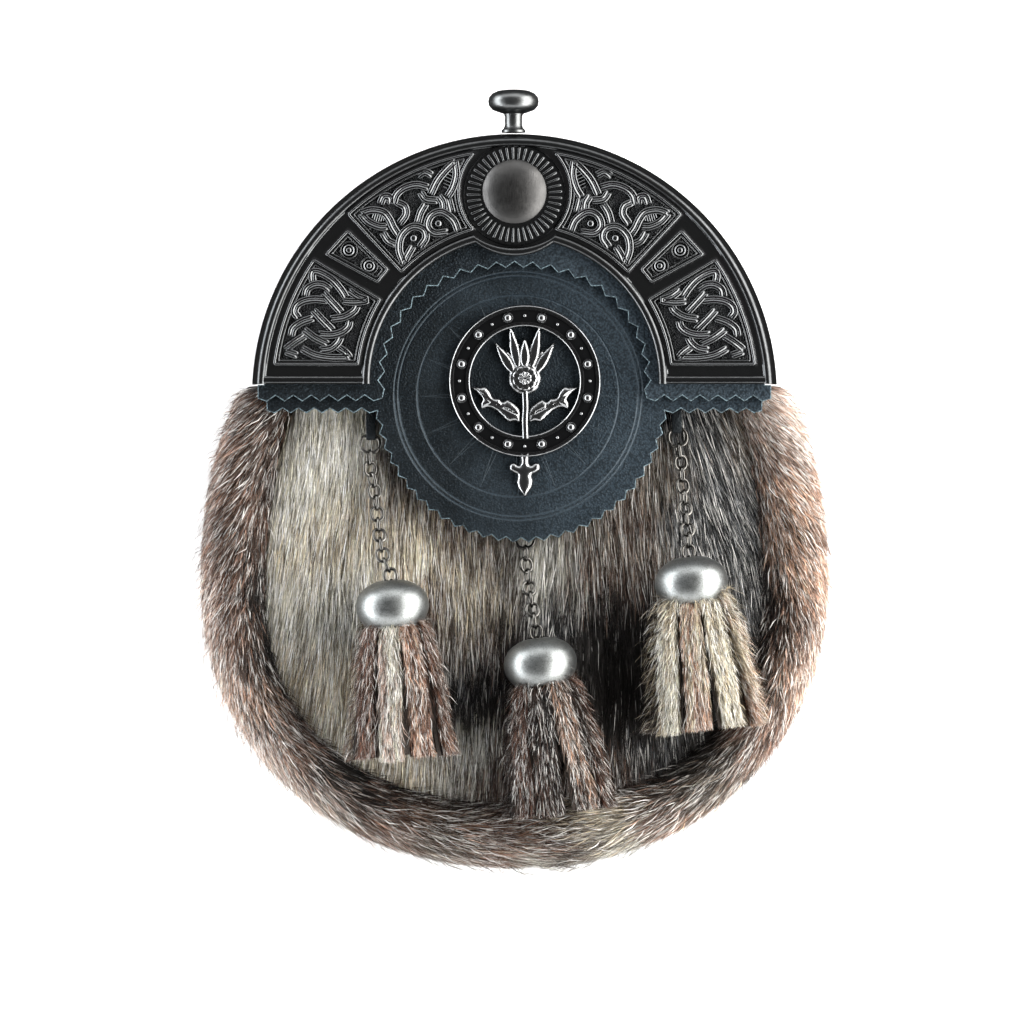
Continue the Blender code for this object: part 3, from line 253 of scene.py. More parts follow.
# Where a change over the fur starts and how far it runs: down the front for the locks at the bottom, and in
# shares of the way round the gusset's roll from the seam for the others
BOTTOM_LOCKS = {"start": 70.0, "run": 30.0, "longer": 0.4}
WALL_LOCKS = {"start": 0.72, "run": 0.2, "shorter": 0.45, "flatter": 0.6}
WALL_DULL = {"start": 0.5, "run": 0.2, "grey": 0.45, "fewer_whites": 0.4}
# Painted light and shade on the gusset's roll: paler on its crown, painted shade down its outer wall
CROWN_PAINTED_LIGHT = {"start": 0.3, "run": 0.15, "paler": 0.2}
WALL_PAINTED_SHADE = {"start": 0.48, "run": 0.2, "darker": 0.55}

# Painted shade on the hairs beside the seam, where the gusset meets the front: up to where on the roll, or
# from how near to the seam on the front panel, how much darker at least, and how much more low down
PAINTED_SEAM_SHADE = {"start": 0.15, "run": 0.15, "least": 0.2, "more_low": 0.75}
PAINTED_FRONT_SEAM_SHADE = {"start": 0.92, "run": 0.08, "least": 0.05, "more_low": 0.4}
LOW_DOWN = {"start": 5.0, "run": 45.0}

# Where the gusset's hairs of the two sides meet at the bottom
PARTING_X = 18.0

# The front's lean in degrees: how it spreads to both sides, how much more it is at the upper right, and how
# single hairs differ
FRONT_LEAN = {"spread": 5, "half_width": 60, "upper_right": 16, "scatter": 3.2}
FRONT_RIGHT = {"start": 38, "run": 24}
FRONT_UPPER = {"start": -26, "run": 20}

# A hair's colour: how its paler tips are shared out, how much hairs differ, where white hairs are white and
# how much, and the palest that a hair gets
HAIR_TINT = {"tip_power": 1.6, "scatter": 0.6, "white_from": 0.6, "white": (0.35, 1.0), "palest": 0.95}
# How much locks differ, and the painted shade between locks: how much darker a hair is towards its lock's
# side
LOCK_TINT = {"scatter": 1.3, "side": 0.4, "gap_shade_reach": 1.5, "paler": 0.1}
# How much hairs are rolled in radians, how their widths vary, and how pale and dark ones differ
HAIR_SHAPE = {"roll": 0.5, "widths": (0.6, 1.25), "pale": 0.6, "dark_width": 0.8, "pale_width": 0.6}

# Slow changes over the fur: how far a wave reaches each way in millimetres, how strong it is, and its seed
WAVES = {
    "gusset_lean": {"x": 20, "y": 12, "strength": 4, "seed": 5},
    "gusset_parting": {"x": 6, "y": 1, "strength": 8, "seed": 8},
    "gusset_streak": {"x": 9, "y": 1.6, "strength": 0.3, "seed": 12},
    "front_lean": {"x": 13, "y": 30, "strength": 5, "seed": 3},
    "front_streak": {"x": 1.5, "y": 14, "strength": 0.3, "seed": 21},
    "front_tone": {"x": 8, "y": 20, "strength": 0.2, "seed": 24},
}

# Across the gusset from the seam over the roll to the back: way in from the outline, height, depth of pile
GUSSET_SKIN = (
    {"inward": 19.0, "height": 26.4, "pile": 0.3},
    {"inward": 15.6, "height": 31.2, "pile": 2.0},
    {"inward": 10.0, "height": 33.2, "pile": 2.5},
    {"inward": 4.2, "height": 29.6, "pile": 2.5},
    {"inward": 0.6, "height": 21.0, "pile": 2.4},
    {"inward": 0.0, "height": 11.0, "pile": 2.2},
    {"inward": 1.8, "height": 3.4, "pile": 1.6},
    {"inward": 5.6, "height": 0.4, "pile": 0.2},
    {"inward": 7.4, "height": 3.6, "pile": 0.0},
)
GUSSET_LINING = (
    {"inward": 7.3, "height": 8.4},
    {"inward": 4.8, "height": 20.0},
    {"inward": 10.6, "height": 28.4},
    {"inward": 18.2, "height": 23.8},
)


# ---------------------------------------------------------------- small helpers


def light(colour):
    """A colour as the eye sees it, 0 to 255, as an amount of light for each channel."""
    shares = []
    for value in colour:
        share = value / 255
        shares.append(share / 12.92 if share < 0.04045 else ((share + 0.055) / 1.055) ** 2.4)
    return tuple(shares)


def smooth_step(value):
    value = np.clip(value, 0.0, 1.0)
    return value * value * (3 - 2 * value)


def between(start, end, share):
    return tuple(a + (b - a) * share for a, b in zip(start, end))


def arc(centre_x, centre_y, radius, start, end, steps):
    """Points along an arc, with its angles in degrees from X."""
    points = []
    for i in range(steps + 1):
        angle = math.radians(start + (end - start) * i / steps)
        points.append((centre_x + radius * math.cos(angle), centre_y + radius * math.sin(angle)))
    return points


def spline(points, steps, closed=False):
    """A dense smooth line through the points (Catmull-Rom)."""
    points = np.asarray(points, float)
    if closed:
        ends = np.concatenate([points[-1:], points, points[:2]])
    else:
        ends = np.concatenate([2 * points[:1] - points[1:2], points, 2 * points[-1:] - points[-2:-1]])
    t = np.linspace(0, 1, steps, endpoint=False)[:, None]
    line = []
    for a, b, c, d in zip(ends, ends[1:], ends[2:], ends[3:]):
        bend = (2 * a - 5 * b + 4 * c - d) * t**2 + (3 * b - a - 3 * c + d) * t**3
        line.append(0.5 * (2 * b + (c - a) * t + bend))
    line = np.concatenate(line)
    return line if closed else np.concatenate([line, points[-1:]])


def line_lengths(line):
    """How far along a line each of its points lies."""
    return np.concatenate([[0.0], np.cumsum(np.linalg.norm(np.diff(line, axis=0), axis=1))])


def along_line(line, distances):
    """The points at distances along a line."""
    lengths = line_lengths(line)
    return np.stack([np.interp(distances, lengths, line[:, axis]) for axis in range(line.shape[1])], axis=-1)


def even_steps(line, step, closed=False):
    """Points at even steps along a line."""
    line = np.asarray(line, float)
    if closed:
        line = np.concatenate([line, line[:1]])
    length = line_lengths(line)[-1]
    spots = along_line(line, np.linspace(0, length, max(round(length / step), 3) + 1))
    return spots[:-1] if closed else spots


def noise(x, y, seed):
    """Smooth noise between -1 and 1, with one lattice cell for each unit."""
    table = np.random.default_rng(seed).uniform(-1, 1, (64, 64))
    column, row = np.floor(x).astype(int), np.floor(y).astype(int)
    across, up = smooth_step(x - column), smooth_step(y - row)
    corners = [table[(row + j) & 63, (column + i) & 63] for j in (0, 1) for i in (0, 1)]
    low = corners[0] + (corners[1] - corners[0]) * across
    high = corners[2] + (corners[3] - corners[2]) * across
    return low + (high - low) * up


def change(row, value):
    """From 0 before a change over the fur starts to 1 where it has run its way."""
    return smooth_step((value - row["start"]) / row["run"])


def wave(name, x, y):
    """One of the slow changes over the fur."""
    row = WAVES[name]
    return noise(x / row["x"], y / row["y"], row["seed"]) * row["strength"]


def pinked(path, tooth):
    """A zigzag cut along a path, with its first and last points kept."""
    lengths = line_lengths(np.array(path))
    half_teeth = 2 * round(lengths[-1] / tooth["pitch"])
    points = [path[0]]
    for i in range(1, half_teeth):
        goal = lengths[-1] * i / half_teeth
        leg = next(k for k in range(1, len(lengths)) if lengths[k] >= goal)
        a, b = path[leg - 1], path[leg]
        x, y = between(a, b, (goal - lengths[leg - 1]) / (lengths[leg] - lengths[leg - 1]))
        side = tooth["depth"] / 2 * (1 if i % 2 else -1)
        length = math.dist(a, b)
        points.append((x + side * (b[1] - a[1]) / length, y - side * (b[0] - a[0]) / length))
    points.append(path[-1])
    return points


def grid_faces(rows, columns, round_rows=False, round_columns=False):
    """The four-sided faces between the points of a grid, which are numbered row by row."""
    row = np.arange(rows if round_rows else rows - 1)
    column = np.arange(columns if round_columns else columns - 1)
    row, column = np.meshgrid(row, column, indexing="ij")
    next_row, next_column = (row + 1) % rows, (column + 1) % columns
    corners = (row * columns + column, row * columns + next_column)
    corners += (next_row * columns + next_column, next_row * columns + column)
    return np.stack(corners, -1).reshape(-1, 4)


def show(name, mesh):
    """An object with a mesh. It rides on the object's only body."""
    obj = bpy.data.objects.new(name, mesh)
    bpy.context.scene.collection.objects.link(obj)
    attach(obj, "root")
    return obj


def add_piece(name, points, faces, materials, slots=None, crease=None):
    """A piece of the object from points in millimetres and faces."""
    mesh = bpy.data.meshes.new(name)
    faces = faces.tolist() if isinstance(faces, np.ndarray) else faces
    mesh.from_pydata((np.asarray(points, float).reshape(-1, 3) * MM).tolist(), [], faces)
    for material in materials:
        mesh.materials.append(material)
    if slots is not None:
        mesh.polygons.foreach_set("material_index", np.asarray(slots, np.int32))
    if crease is not None:
        face_outward(mesh)
    mesh.shade_smooth()
    if crease is not None:
        mesh.set_sharp_from_angle(angle=math.radians(crease))
    return show(name, mesh)


def face_outward(mesh):
    """Turn all faces so that their normals point out of the body."""
    body = bmesh.new()
    body.from_mesh(mesh)
    bmesh.ops.recalc_face_normals(body, faces=body.faces)
    body.to_mesh(mesh)
    body.free()


def set_values(obj, name, values):
    """Store a number or a colour for each point of a piece."""
    values = np.asarray(values, np.float32)
    if values.ndim == 1:
        obj.data.attributes.new(name, "FLOAT", "POINT").data.foreach_set("value", values)
        return
    full = np.concatenate([values, np.ones((len(values), 1), np.float32)], axis=1)
    obj.data.attributes.new(name, "FLOAT_COLOR", "POINT").data.foreach_set("color", full.ravel())


def joined(bodies):
    """Several bodies, each points and faces, as one."""
    points, faces, start = [], [], 0
    for body_points, body_faces in bodies:
        body_points = np.asarray(body_points, float).reshape(-1, 3)
        points.append(body_points)
        faces.extend([tuple(start + i for i in face) for face in body_faces])
        start += len(body_points)
    return np.concatenate(points), faces


def mirrored_body(points, faces):
    """The same body on the other side of the middle line."""
    return points * (-1, 1, 1), [tuple(reversed(face)) for face in faces]


def turned(profile, sides, place=None, closed=False):
    """A body turned about Z from rows of radius and height. A closed profile is the wall of a ring."""
    rings = []
    for radius, height in profile:
        angle = 2 * np.pi * np.arange(sides) / sides
        rings.append(np.stack([radius * np.cos(angle), radius * np.sin(angle), np.full(sides, height)], 1))
    points = np.concatenate(rings)
    faces = grid_faces(len(rings), sides, round_rows=closed, round_columns=True).tolist()
    if not closed:
        faces += end_caps(len(rings), sides, turn=True)
    if place is not None:
        points = points @ np.array(place.to_3x3()).T + np.array(place.translation)
    return points, faces


def tube(path, radius, sides):
    """A round body along a path, with a radius that may change along it."""
    path = np.asarray(path, float)
    radii = np.broadcast_to(np.asarray(radius, float), (len(path),))
    heading = np.gradient(path, axis=0)
    heading /= np.linalg.norm(heading, axis=1, keepdims=True)
    side = np.cross(heading, (0.0, 0.0, 1.0))
    side /= np.maximum(np.linalg.norm(side, axis=1, keepdims=True), 1e-9)
    up = np.cross(side, heading)
    angle = 2 * np.pi * np.arange(sides) / sides
    spread = side[:, None] * np.cos(angle)[None, :, None] + up[:, None] * np.sin(angle)[None, :, None]
    points = (path[:, None] + spread * radii[:, None, None]).reshape(-1, 3)
    return points, grid_faces(len(path), sides, round_columns=True).tolist() + end_caps(len(path), sides)


def end_caps(rings, sides, turn=False):
    """The two faces that close a body of rings. Turned, they suit rings that run the other way round."""
    first, last = range(sides), range((rings - 1) * sides, rings * sides)
    if turn:
        return [tuple(reversed(first)), tuple(last)]
    return [tuple(first), tuple(reversed(last))]


def moulding(path, section, base, width=1.0, closed=False):
    """A raised line along a path of the plan. Its section has rows of way across and height over the base."""
    path, section = np.asarray(path, float), np.asarray(section, float)
    if closed:
        heading = np.roll(path, -1, axis=0) - np.roll(path, 1, axis=0)
    else:
        heading = np.gradient(path, axis=0)
    heading /= np.linalg.norm(heading, axis=1, keepdims=True)
    side = np.stack([heading[:, 1], -heading[:, 0]], axis=1)
    widths = np.broadcast_to(np.asarray(width, float), (len(path),))[:, None, None]
    bases = np.broadcast_to(np.asarray(base, float), (len(path),))[:, None]
    plan = path[:, None] + side[:, None] * section[None, :, :1] * widths
    points = np.concatenate([plan, (bases + section[None, :, 1])[..., None]], axis=2)
    faces = grid_faces(len(path), len(section), round_rows=closed, round_columns=True).tolist()
    return points.reshape(-1, 3), faces if closed else faces + end_caps(len(path), len(section))


def flat_mesh(name, outline, low_z, thickness, rounding):
    """The mesh of a flat sheet with chamfered edges."""
    curve = bpy.data.curves.new(name, "CURVE")
    curve.dimensions = "2D"
    curve.fill_mode = "BOTH"
    curve.extrude = (thickness / 2 - rounding) * MM
    curve.bevel_depth = rounding * MM
    curve.bevel_resolution = 1
    curve.offset = -rounding * MM
    line = curve.splines.new("POLY")
    line.points.add(len(outline) - 1)
    for point, (x, y) in zip(line.points, outline):
        point.co = (x * MM, y * MM, 0.0, 1.0)
    line.use_cyclic_u = True
    source = bpy.data.objects.new(name + "_line", curve)
    bpy.context.scene.collection.objects.link(source)
    graph = bpy.context.evaluated_depsgraph_get()
    mesh = bpy.data.meshes.new_from_object(source.evaluated_get(graph))
    bpy.data.objects.remove(source)
    mesh.name = name
    mesh.transform(Matrix.Translation((0.0, 0.0, (low_z + thickness / 2) * MM)))
    return mesh


# ---------------------------------------------------------------- materials


def add_node(tree, kind, inputs=None, **settings):
    """A shader node with its inputs set to values or joined to other nodes' outputs."""
    made = tree.nodes.new("ShaderNode" + kind)
    for key, value in settings.items():
        setattr(made, key, value)
    for key, value in (inputs or {}).items():
        socket = made.inputs[key]
        if isinstance(value, bpy.types.NodeSocket):
            tree.links.new(value, socket)
        else:
            socket.default_value = value
    return made


def new_material(name, **values):
    """A material, its tree and its shader, with the shader's plain values set on its own sockets."""
    material = bpy.data.materials.new(name)
    material.use_nodes = True
    shader = material.node_tree.nodes["Principled BSDF"]
    for key, value in values.items():
        shader.inputs[key.replace("_", " ")].default_value = value
    return material, material.node_tree, shader


def place_of(tree):
    """The point on the piece, in millimetres."""
    where = add_node(tree, "TexCoord").outputs["Object"]
    return add_node(tree, "VectorMath", {0: where, "Scale": 1 / MM}, operation="SCALE").outputs[0]


def mixed(tree, share, first, second):
    made = add_node(tree, "Mix", {0: share, 6: first, 7: second}, data_type="RGBA")
    return made.outputs[2]


def ramp(tree, value, stops):
    """A value turned into greys or colours by stops, each a place and its grey or colour."""
    made = add_node(tree, "ValToRGB", {"Fac": value})
    elements = made.color_ramp.elements
    while len(elements) < len(stops):
        elements.new(0.5)
    for element, (spot, tone) in zip(elements, stops):
        element.position = spot
        element.color = (tone, tone, tone, 1.0) if isinstance(tone, float) else (*tone, 1.0)
    return made.outputs[0]


def noise_of(tree, spot, scale, detail):
    return add_node(tree, "TexNoise", {"Vector": spot, "Scale": scale, "Detail": detail}).outputs["Fac"]


def number(tree, operation, first, second=0.0, third=0.0):
    return add_node(tree, "Math", {0: first, 1: second, 2: third}, operation=operation).outputs[0]


def bump(tree, height, distance, strength=1.0, normal=None):
    inputs = {"Height": height, "Distance": distance * MM, "Strength": strength}
    if normal is not None:
        inputs["Normal"] = normal
    return add_node(tree, "Bump", inputs).outputs[0]


def attribute(tree, name, output):
    return add_node(tree, "Attribute", attribute_name=name).outputs[output]


def feed(tree, shader, **outputs):
    """Join nodes' outputs to the shader's sockets."""
    for key, output in outputs.items():
        tree.links.new(output, shader.inputs[key.replace("_", " ")])


def shade(colour, share=1.0):
    """A colour made darker or paler, with its alpha."""
    return (*[min(channel * share, 1.0) for channel in colour], 1.0)


def leather_material(name, colour, marks=False):
    """Grained leather. With marks, it has the two pressed circles and the sun's rays of the flap."""
    material, tree, shader = new_material(name, Specular_IOR_Level=0.3, Specular_Tint=(0.78, 0.92, 1.0, 1.0))
    spot = place_of(tree)
    grain = add_node(tree, "TexVoronoi", {"Vector": spot, "Scale": 1.8}, feature="SMOOTH_F1")
    grain = grain.outputs["Distance"]
    pores = noise_of(tree, spot, 2.3, 5.0)
    patches = noise_of(tree, spot, 0.06, 3.0)
    # Painted sheen of the right-hand light: the leather is painted paler towards the right, mixed with random
    # patches
    side = add_node(tree, "SeparateXYZ", {0: spot}).outputs[0]
    painted_sheen_and_patches = ramp(tree, number(tree, "MULTIPLY_ADD", side, 0.014, patches), ((0.2, 0.0), (0.85, 1.0)))
    tone = mixed(tree, painted_sheen_and_patches, shade(colour, 0.15), shade(colour, 3.0))
    tone = mixed(tree, ramp(tree, grain, ((0.25, 0.0), (0.6, 0.75))), tone, (0.003, 0.004, 0.005, 1.0))
    tone = mixed(tree, ramp(tree, pores, ((0.5, 0.0), (0.68, 0.45))), tone, shade(colour, 3.4))
    surface = bump(tree, grain, 0.2, 1.0)
    surface = bump(tree, pores, 0.1, 0.8, surface)
    if marks:
        height = pressed_marks(tree, spot)
        pressed = ramp(tree, height, ((0.0, 0.4), (1.0, 0.0)))
        tone = mixed(tree, pressed, tone, shade(colour, 6.0))
        surface = bump(tree, height, 0.35, 0.8, surface)
        # Painted shade under and round the badge: the leather is darker there
        centre = (BADGE["x"], BADGE["y"], FLAP_LOW_Z + LEATHER)
        way = add_node(tree, "VectorMath", {0: spot, 1: centre}, operation="DISTANCE").outputs["Value"]
        painted_badge_shade = ramp(tree, number(tree, "DIVIDE", way, 30.0), ((0.5, 0.5), (0.8, 0.0)))
        tone = mixed(tree, painted_badge_shade, tone, shade(colour, 0.3))
    rough = ramp(tree, patches, ((0.3, 0.4), (0.7, 0.52)))
    feed(tree, shader, Base_Color=tone, Roughness=rough, Normal=surface)
    return material


# The flap's pressed lines: their middle, the circles' radii, the lines' half width, and the rays' ends
PRESSED = {"x": 1.1, "y": 25.2, "circles": (30.3, 36.0, 37.2), "line": 0.4}
RAYS = {"count": 16, "from": 18.0, "to": 29.6, "half_width": 6.0, "depth": 0.6}


def pressed_marks(tree, spot):
    """Height of the flap's pressed circles and rays: 1 on the leather and 0 in the pressed lines."""
    parts = add_node(tree, "SeparateXYZ", {0: spot}).outputs
    x = number(tree, "SUBTRACT", parts[0], PRESSED["x"])
    y = number(tree, "SUBTRACT", parts[1], PRESSED["y"])
    radius = number(tree, "SQRT", number(tree, "MULTIPLY_ADD", x, x, number(tree, "MULTIPLY", y, y)))
    marks = None
    for circle in PRESSED["circles"]:
        off = number(tree, "ABSOLUTE", number(tree, "SUBTRACT", radius, circle))
        line = number(tree, "SUBTRACT", 1.0, number(tree, "DIVIDE", off, PRESSED["line"]))
        line = number(tree, "MAXIMUM", line, 0.0)
        marks = line if marks is None else number(tree, "MAXIMUM", marks, line)
    angle = number(tree, "MULTIPLY", number(tree, "ARCTAN2", y, x), RAYS["count"] / 2)
    across = number(tree, "MULTIPLY", number(tree, "ABSOLUTE", number(tree, "SINE", angle)), radius)
    taper = number(tree, "SUBTRACT", RAYS["to"], radius)
    taper = number(tree, "DIVIDE", taper, RAYS["to"] - RAYS["from"])
    ray = number(tree, "SUBTRACT", number(tree, "MULTIPLY", taper, RAYS["half_width"]), across)
    edge = number(tree, "SUBTRACT", 1.0, number(tree, "ABSOLUTE", number(tree, "SUBTRACT", ray, 0.8)))
    edge = number(tree, "MAXIMUM", edge, 0.0)
    outside = number(tree, "GREATER_THAN", radius, RAYS["from"])
    inside = number(tree, "LESS_THAN", radius, RAYS["to"])
    edge = number(tree, "MULTIPLY", edge, number(tree, "MULTIPLY", outside, inside))
    marks = number(tree, "MAXIMUM", marks, number(tree, "MULTIPLY", edge, RAYS["depth"]))
    return number(tree, "SUBTRACT", 1.0, number(tree, "MINIMUM", marks, 1.0))


def fibre_material(name, roughness, scale, stops, depth, strength):
    """Rough leather fibres: a cut edge, or the flesh side of the leather and the hides."""
    material, tree, shader = new_material(name, Roughness=roughness)
    fibres = noise_of(tree, place_of(tree), scale, 5.0)
    tone = ramp(tree, fibres, [(place, light(colour)) for place, colour in stops])
    feed(tree, shader, Base_Color=tone, Normal=bump(tree, fibres, depth, strength))
    return material


def cut_edge_material(name, dark, pale):
    return fibre_material(name, 0.75, 1.6, ((0.38, dark), (0.64, pale)), 0.1, 0.7)


def cast_metal_material(name, dark, bright, stipple=False):
    """Cast metal, polished where it stands out and dark in its hollows, by the relief kept on its points."""
    material, tree, shader = new_material(name, Metallic=1.0)
    spot = place_of(tree)
    stain = number(tree, "SUBTRACT", noise_of(tree, spot, 0.35, 5.0), 0.5)
    share = number(tree, "MULTIPLY_ADD", stain, 0.3, attribute(tree, "relief", "Fac"))
    tone = ramp(tree, share, ((0.1, dark), (0.7, bright)))
    rough = ramp(tree, share, ((0.15, 0.38), (0.7, 0.21)))
    surface = bump(tree, noise_of(tree, spot, 1.2, 4.0), 0.09, 0.5)
    if stipple:
        dots = add_node(tree, "TexVoronoi", {"Vector": spot, "Scale": 1.9}).outputs["Distance"]
        dots = number(tree, "MULTIPLY", dots, attribute(tree, "stipple", "Fac"))
        surface = bump(tree, dots, 0.45, 1.0, surface)
    feed(tree, shader, Base_Color=tone, Roughness=rough, Normal=surface)
    return material


def brushed_material(name, colour, roughness, stretch, patina=0.1):
    """Satin metal with fine brushing, in lines along the given direction, and a dark patina in specks."""
    material, tree, shader = new_material(name, Metallic=1.0)
    spot = place_of(tree)
    lines = add_node(tree, "Mapping", {"Vector": spot, "Scale": stretch}).outputs[0]
    brushing = noise_of(tree, lines, 1.0, 5.0)
    clouds = ramp(tree, noise_of(tree, spot, 0.3, 3.0), ((0.35, 0.0), (0.7, 1.0)))
    specks = ramp(tree, noise_of(tree, spot, 2.6, 4.0), ((0.48, 0.0), (0.66, patina)))
    tone = mixed(tree, clouds, shade(colour, 0.82), shade(colour, 1.08))
    tone = mixed(tree, ramp(tree, brushing, ((0.4, 0.0), (0.6, 0.3))), tone, shade(colour))
    tone = mixed(tree, specks, tone, (0.03, 0.03, 0.03, 1.0))
    rough = ramp(tree, brushing, ((0.3, roughness * 0.82), (0.7, roughness * 1.2)))
    feed(tree, shader, Base_Color=tone, Roughness=rough, Normal=bump(tree, brushing, 0.035, 0.5))
    return material


def hair_material():
    """Single hairs. Their colour from root to tip is kept on their points."""
    material, tree, shader = new_material("hair", Roughness=0.4, Specular_IOR_Level=0.2)
    dust = ramp(tree, noise_of(tree, place_of(tree), 0.8, 2.0), ((0.3, 0.0), (0.7, 0.22)))
    tone = mixed(tree, dust, attribute(tree, "coat", "Color"), (0.02, 0.016, 0.013, 1.0))
    feed(tree, shader, Base_Color=tone)
    return material


def hide_material():
    """The hide under the pile, with the short wool that shows between the hairs."""
    material, tree, shader = new_material("hide", Roughness=0.9)
    wool = noise_of(tree, place_of(tree), 2.4, 4.0)
    depth = ramp(tree, wool, ((0.35, 0.75), (0.7, 0.1)))
    tone = mixed(tree, depth, attribute(tree, "coat", "Color"), (0.012, 0.009, 0.007, 1.0))
    feed(tree, shader, Base_Color=tone, Normal=bump(tree, wool, 0.4, 0.9))
    return material


def thread_material():
    material, tree, shader = new_material("thread", Roughness=0.7)
    twist = add_node(tree, "TexWave", {"Vector": place_of(tree), "Scale": 2.0, "Distortion": 1.0})
    twist = twist.outputs["Fac"]
    tone = ramp(tree, twist, ((0.2, light((20, 20, 22))), (0.8, light((58, 58, 60)))))
    feed(tree, shader, Base_Color=tone, Normal=bump(tree, twist, 0.1, 0.6))
    return material


FACE_LEATHER = leather_material("leather_black", light((28, 34, 39)))
FLAP_LEATHER = leather_material("leather_pressed", light((22, 28, 33)), marks=True)
TAB_LEATHER = leather_material("leather_tab", light((10, 11, 12)))
# The chamfer of the leather's face: pale and bluish, a painted highlight of the lamps on the rounded edge
PAINTED_EDGE_SHEEN = cut_edge_material("painted_edge_sheen", (32, 41, 46), (112, 134, 142))
CUT_EDGE = cut_edge_material("cut_edge", (18, 21, 24), (58, 66, 72))
FLESH_SIDE = fibre_material("flesh_side", 0.9, 3.0, ((0.3, (52, 46, 42)), (0.7, (92, 82, 74))), 0.2, 0.8)
CANTLE_METAL = cast_metal_material("dark_nickel_cast", (0.01, 0.0105, 0.011), (0.13, 0.134, 0.137), True)
BADGE_METAL = cast_metal_material("dark_chrome", (0.03, 0.031, 0.033), (0.26, 0.265, 0.27))
BELL_METAL = brushed_material("brushed_pewter", (0.31, 0.324, 0.32), 0.4, (0.5, 5.0, 0.5), 0.4)
BOSS_METAL = brushed_material("brushed_dark", (0.075, 0.074, 0.073), 0.42, (5.0, 0.4, 0.4))
KNOB_METAL = brushed_material("worn_nickel", (0.155, 0.16, 0.16), 0.34, (0.6, 5.0, 0.6))
CHAIN_METAL = brushed_material("chain_steel", (0.125, 0.12, 0.111), 0.2, (3.0, 3.0, 3.0))
HAIR = hair_material()
HIDE = hide_material()
THREAD = thread_material()


# ---------------------------------------------------------------- fur


def coat_rows(names):
    """The root, body and tip colours of coats, and their shares of white hairs."""
    colours = [[light(COATS[name][part]) for part in ("root", "body", "tip")] for name in names]
    return np.array(colours), np.array([COATS[name]["white"] for name in names])


def patch_coats(x, y, patches, lock=None):
    """The root, body and tip colours of the fur at points of the plan, and its share of white hairs.

    Near the border of two patches, each lock takes one of their coats, chosen by its number from 0 to 1.
    """
    weights = []
    for patch in patches:
        distance = (x - patch["x"]) ** 2 + (y - patch["y"]) ** 2
        weights.append(np.exp(-distance / patch["reach"] ** 2) + 1e-12)
    weights = np.array(weights)
    weights /= weights.sum(axis=0)
    colours, whites = coat_rows([patch["coat"] for patch in patches])
    even = np.einsum("pn,pkc->nkc", weights, colours)
    if lock is None:
        return even, weights.T @ whites
    chosen = (np.cumsum(weights, axis=0) < lock[None]).sum(axis=0).clip(0, len(patches) - 1)
    return 0.25 * even + 0.75 * colours[chosen], whites[chosen]


def make_sheet(points):
    """A surface that hairs grow on, from a grid of points, with its outward normals and step lengths."""
    along = np.gradient(points, axis=0)
    across = np.gradient(points, axis=1)
    normals = np.cross(along, across)
    normals /= np.linalg.norm(normals, axis=2, keepdims=True)
    steps = [np.linalg.norm(way, axis=2, keepdims=True) for way in (along, across)]
    return {"points": points, "normals": normals, "along_step": steps[0], "across_step": steps[1]}


def look_up(grid, row, column):
    """Values between the points of a grid. Beyond its edge they go on evenly."""
    rows, columns = grid.shape[:2]
    low_row = np.clip(np.floor(row).astype(int), 0, rows - 2)
    low_column = np.clip(np.floor(column).astype(int), 0, columns - 2)
    down, across = (row - low_row)[:, None], (column - low_column)[:, None]
    first = grid[low_row, low_column] * (1 - across) + grid[low_row, low_column + 1] * across
    second = grid[low_row + 1, low_column] * (1 - across) + grid[low_row + 1, low_column + 1] * across
    return first * (1 - down) + second * down


def clump_offsets(along, across, seed):
    """The way from each hair's root to the middle of its clump, and two numbers for the clump."""
    row = np.floor(along / CLUMP["along"]).astype(int)
    shifted = across + noise(along / 20.0, across / 30.0, seed) * CLUMP["across"]
    column = np.floor(shifted / CLUMP["across"] + 0.5 * (row & 1)).astype(int)
    rng = np.random.default_rng(seed)
    jitter = rng.uniform(-0.4, 0.4, (128, 128, 2))[row & 127, column & 127]
    numbers = rng.uniform(0.0, 1.0, (128, 128, 2))[row & 127, column & 127]
    middle_along = (row + 0.5 + jitter[:, 0]) * CLUMP["along"]
    middle_across = (column + 0.5 - 0.5 * (row & 1) + jitter[:, 1]) * CLUMP["across"]
    return middle_along - along, middle_across - shifted, numbers


def grow(sheet, row, column, heading, bend, length, rise, move):
    """Middle lines of hairs. Each leaves the sheet, rises and then lies along it. Its tip moves across."""
    along_step = look_up(sheet["along_step"], row, column)[:, 0]
    across_step = look_up(sheet["across_step"], row, column)[:, 0]
    lines, normals = [], []
    for share in HAIR_LEVELS:
        turn = heading + bend * share
        down = row + np.cos(turn) * length * share / along_step
        side = column + (np.sin(turn) * length * share + move * share**1.5) / across_step
        normal = look_up(sheet["normals"], down, side)
        normal /= np.linalg.norm(normal, axis=1, keepdims=True)
        lift = rise * (1 - (1 - share) ** 2) - 0.3 * (1 - share)
        lines.append(look_up(sheet["points"], down, side) + normal * lift[:, None])
        normals.append(normal)
    return np.stack(lines, axis=1), np.stack(normals, axis=1)


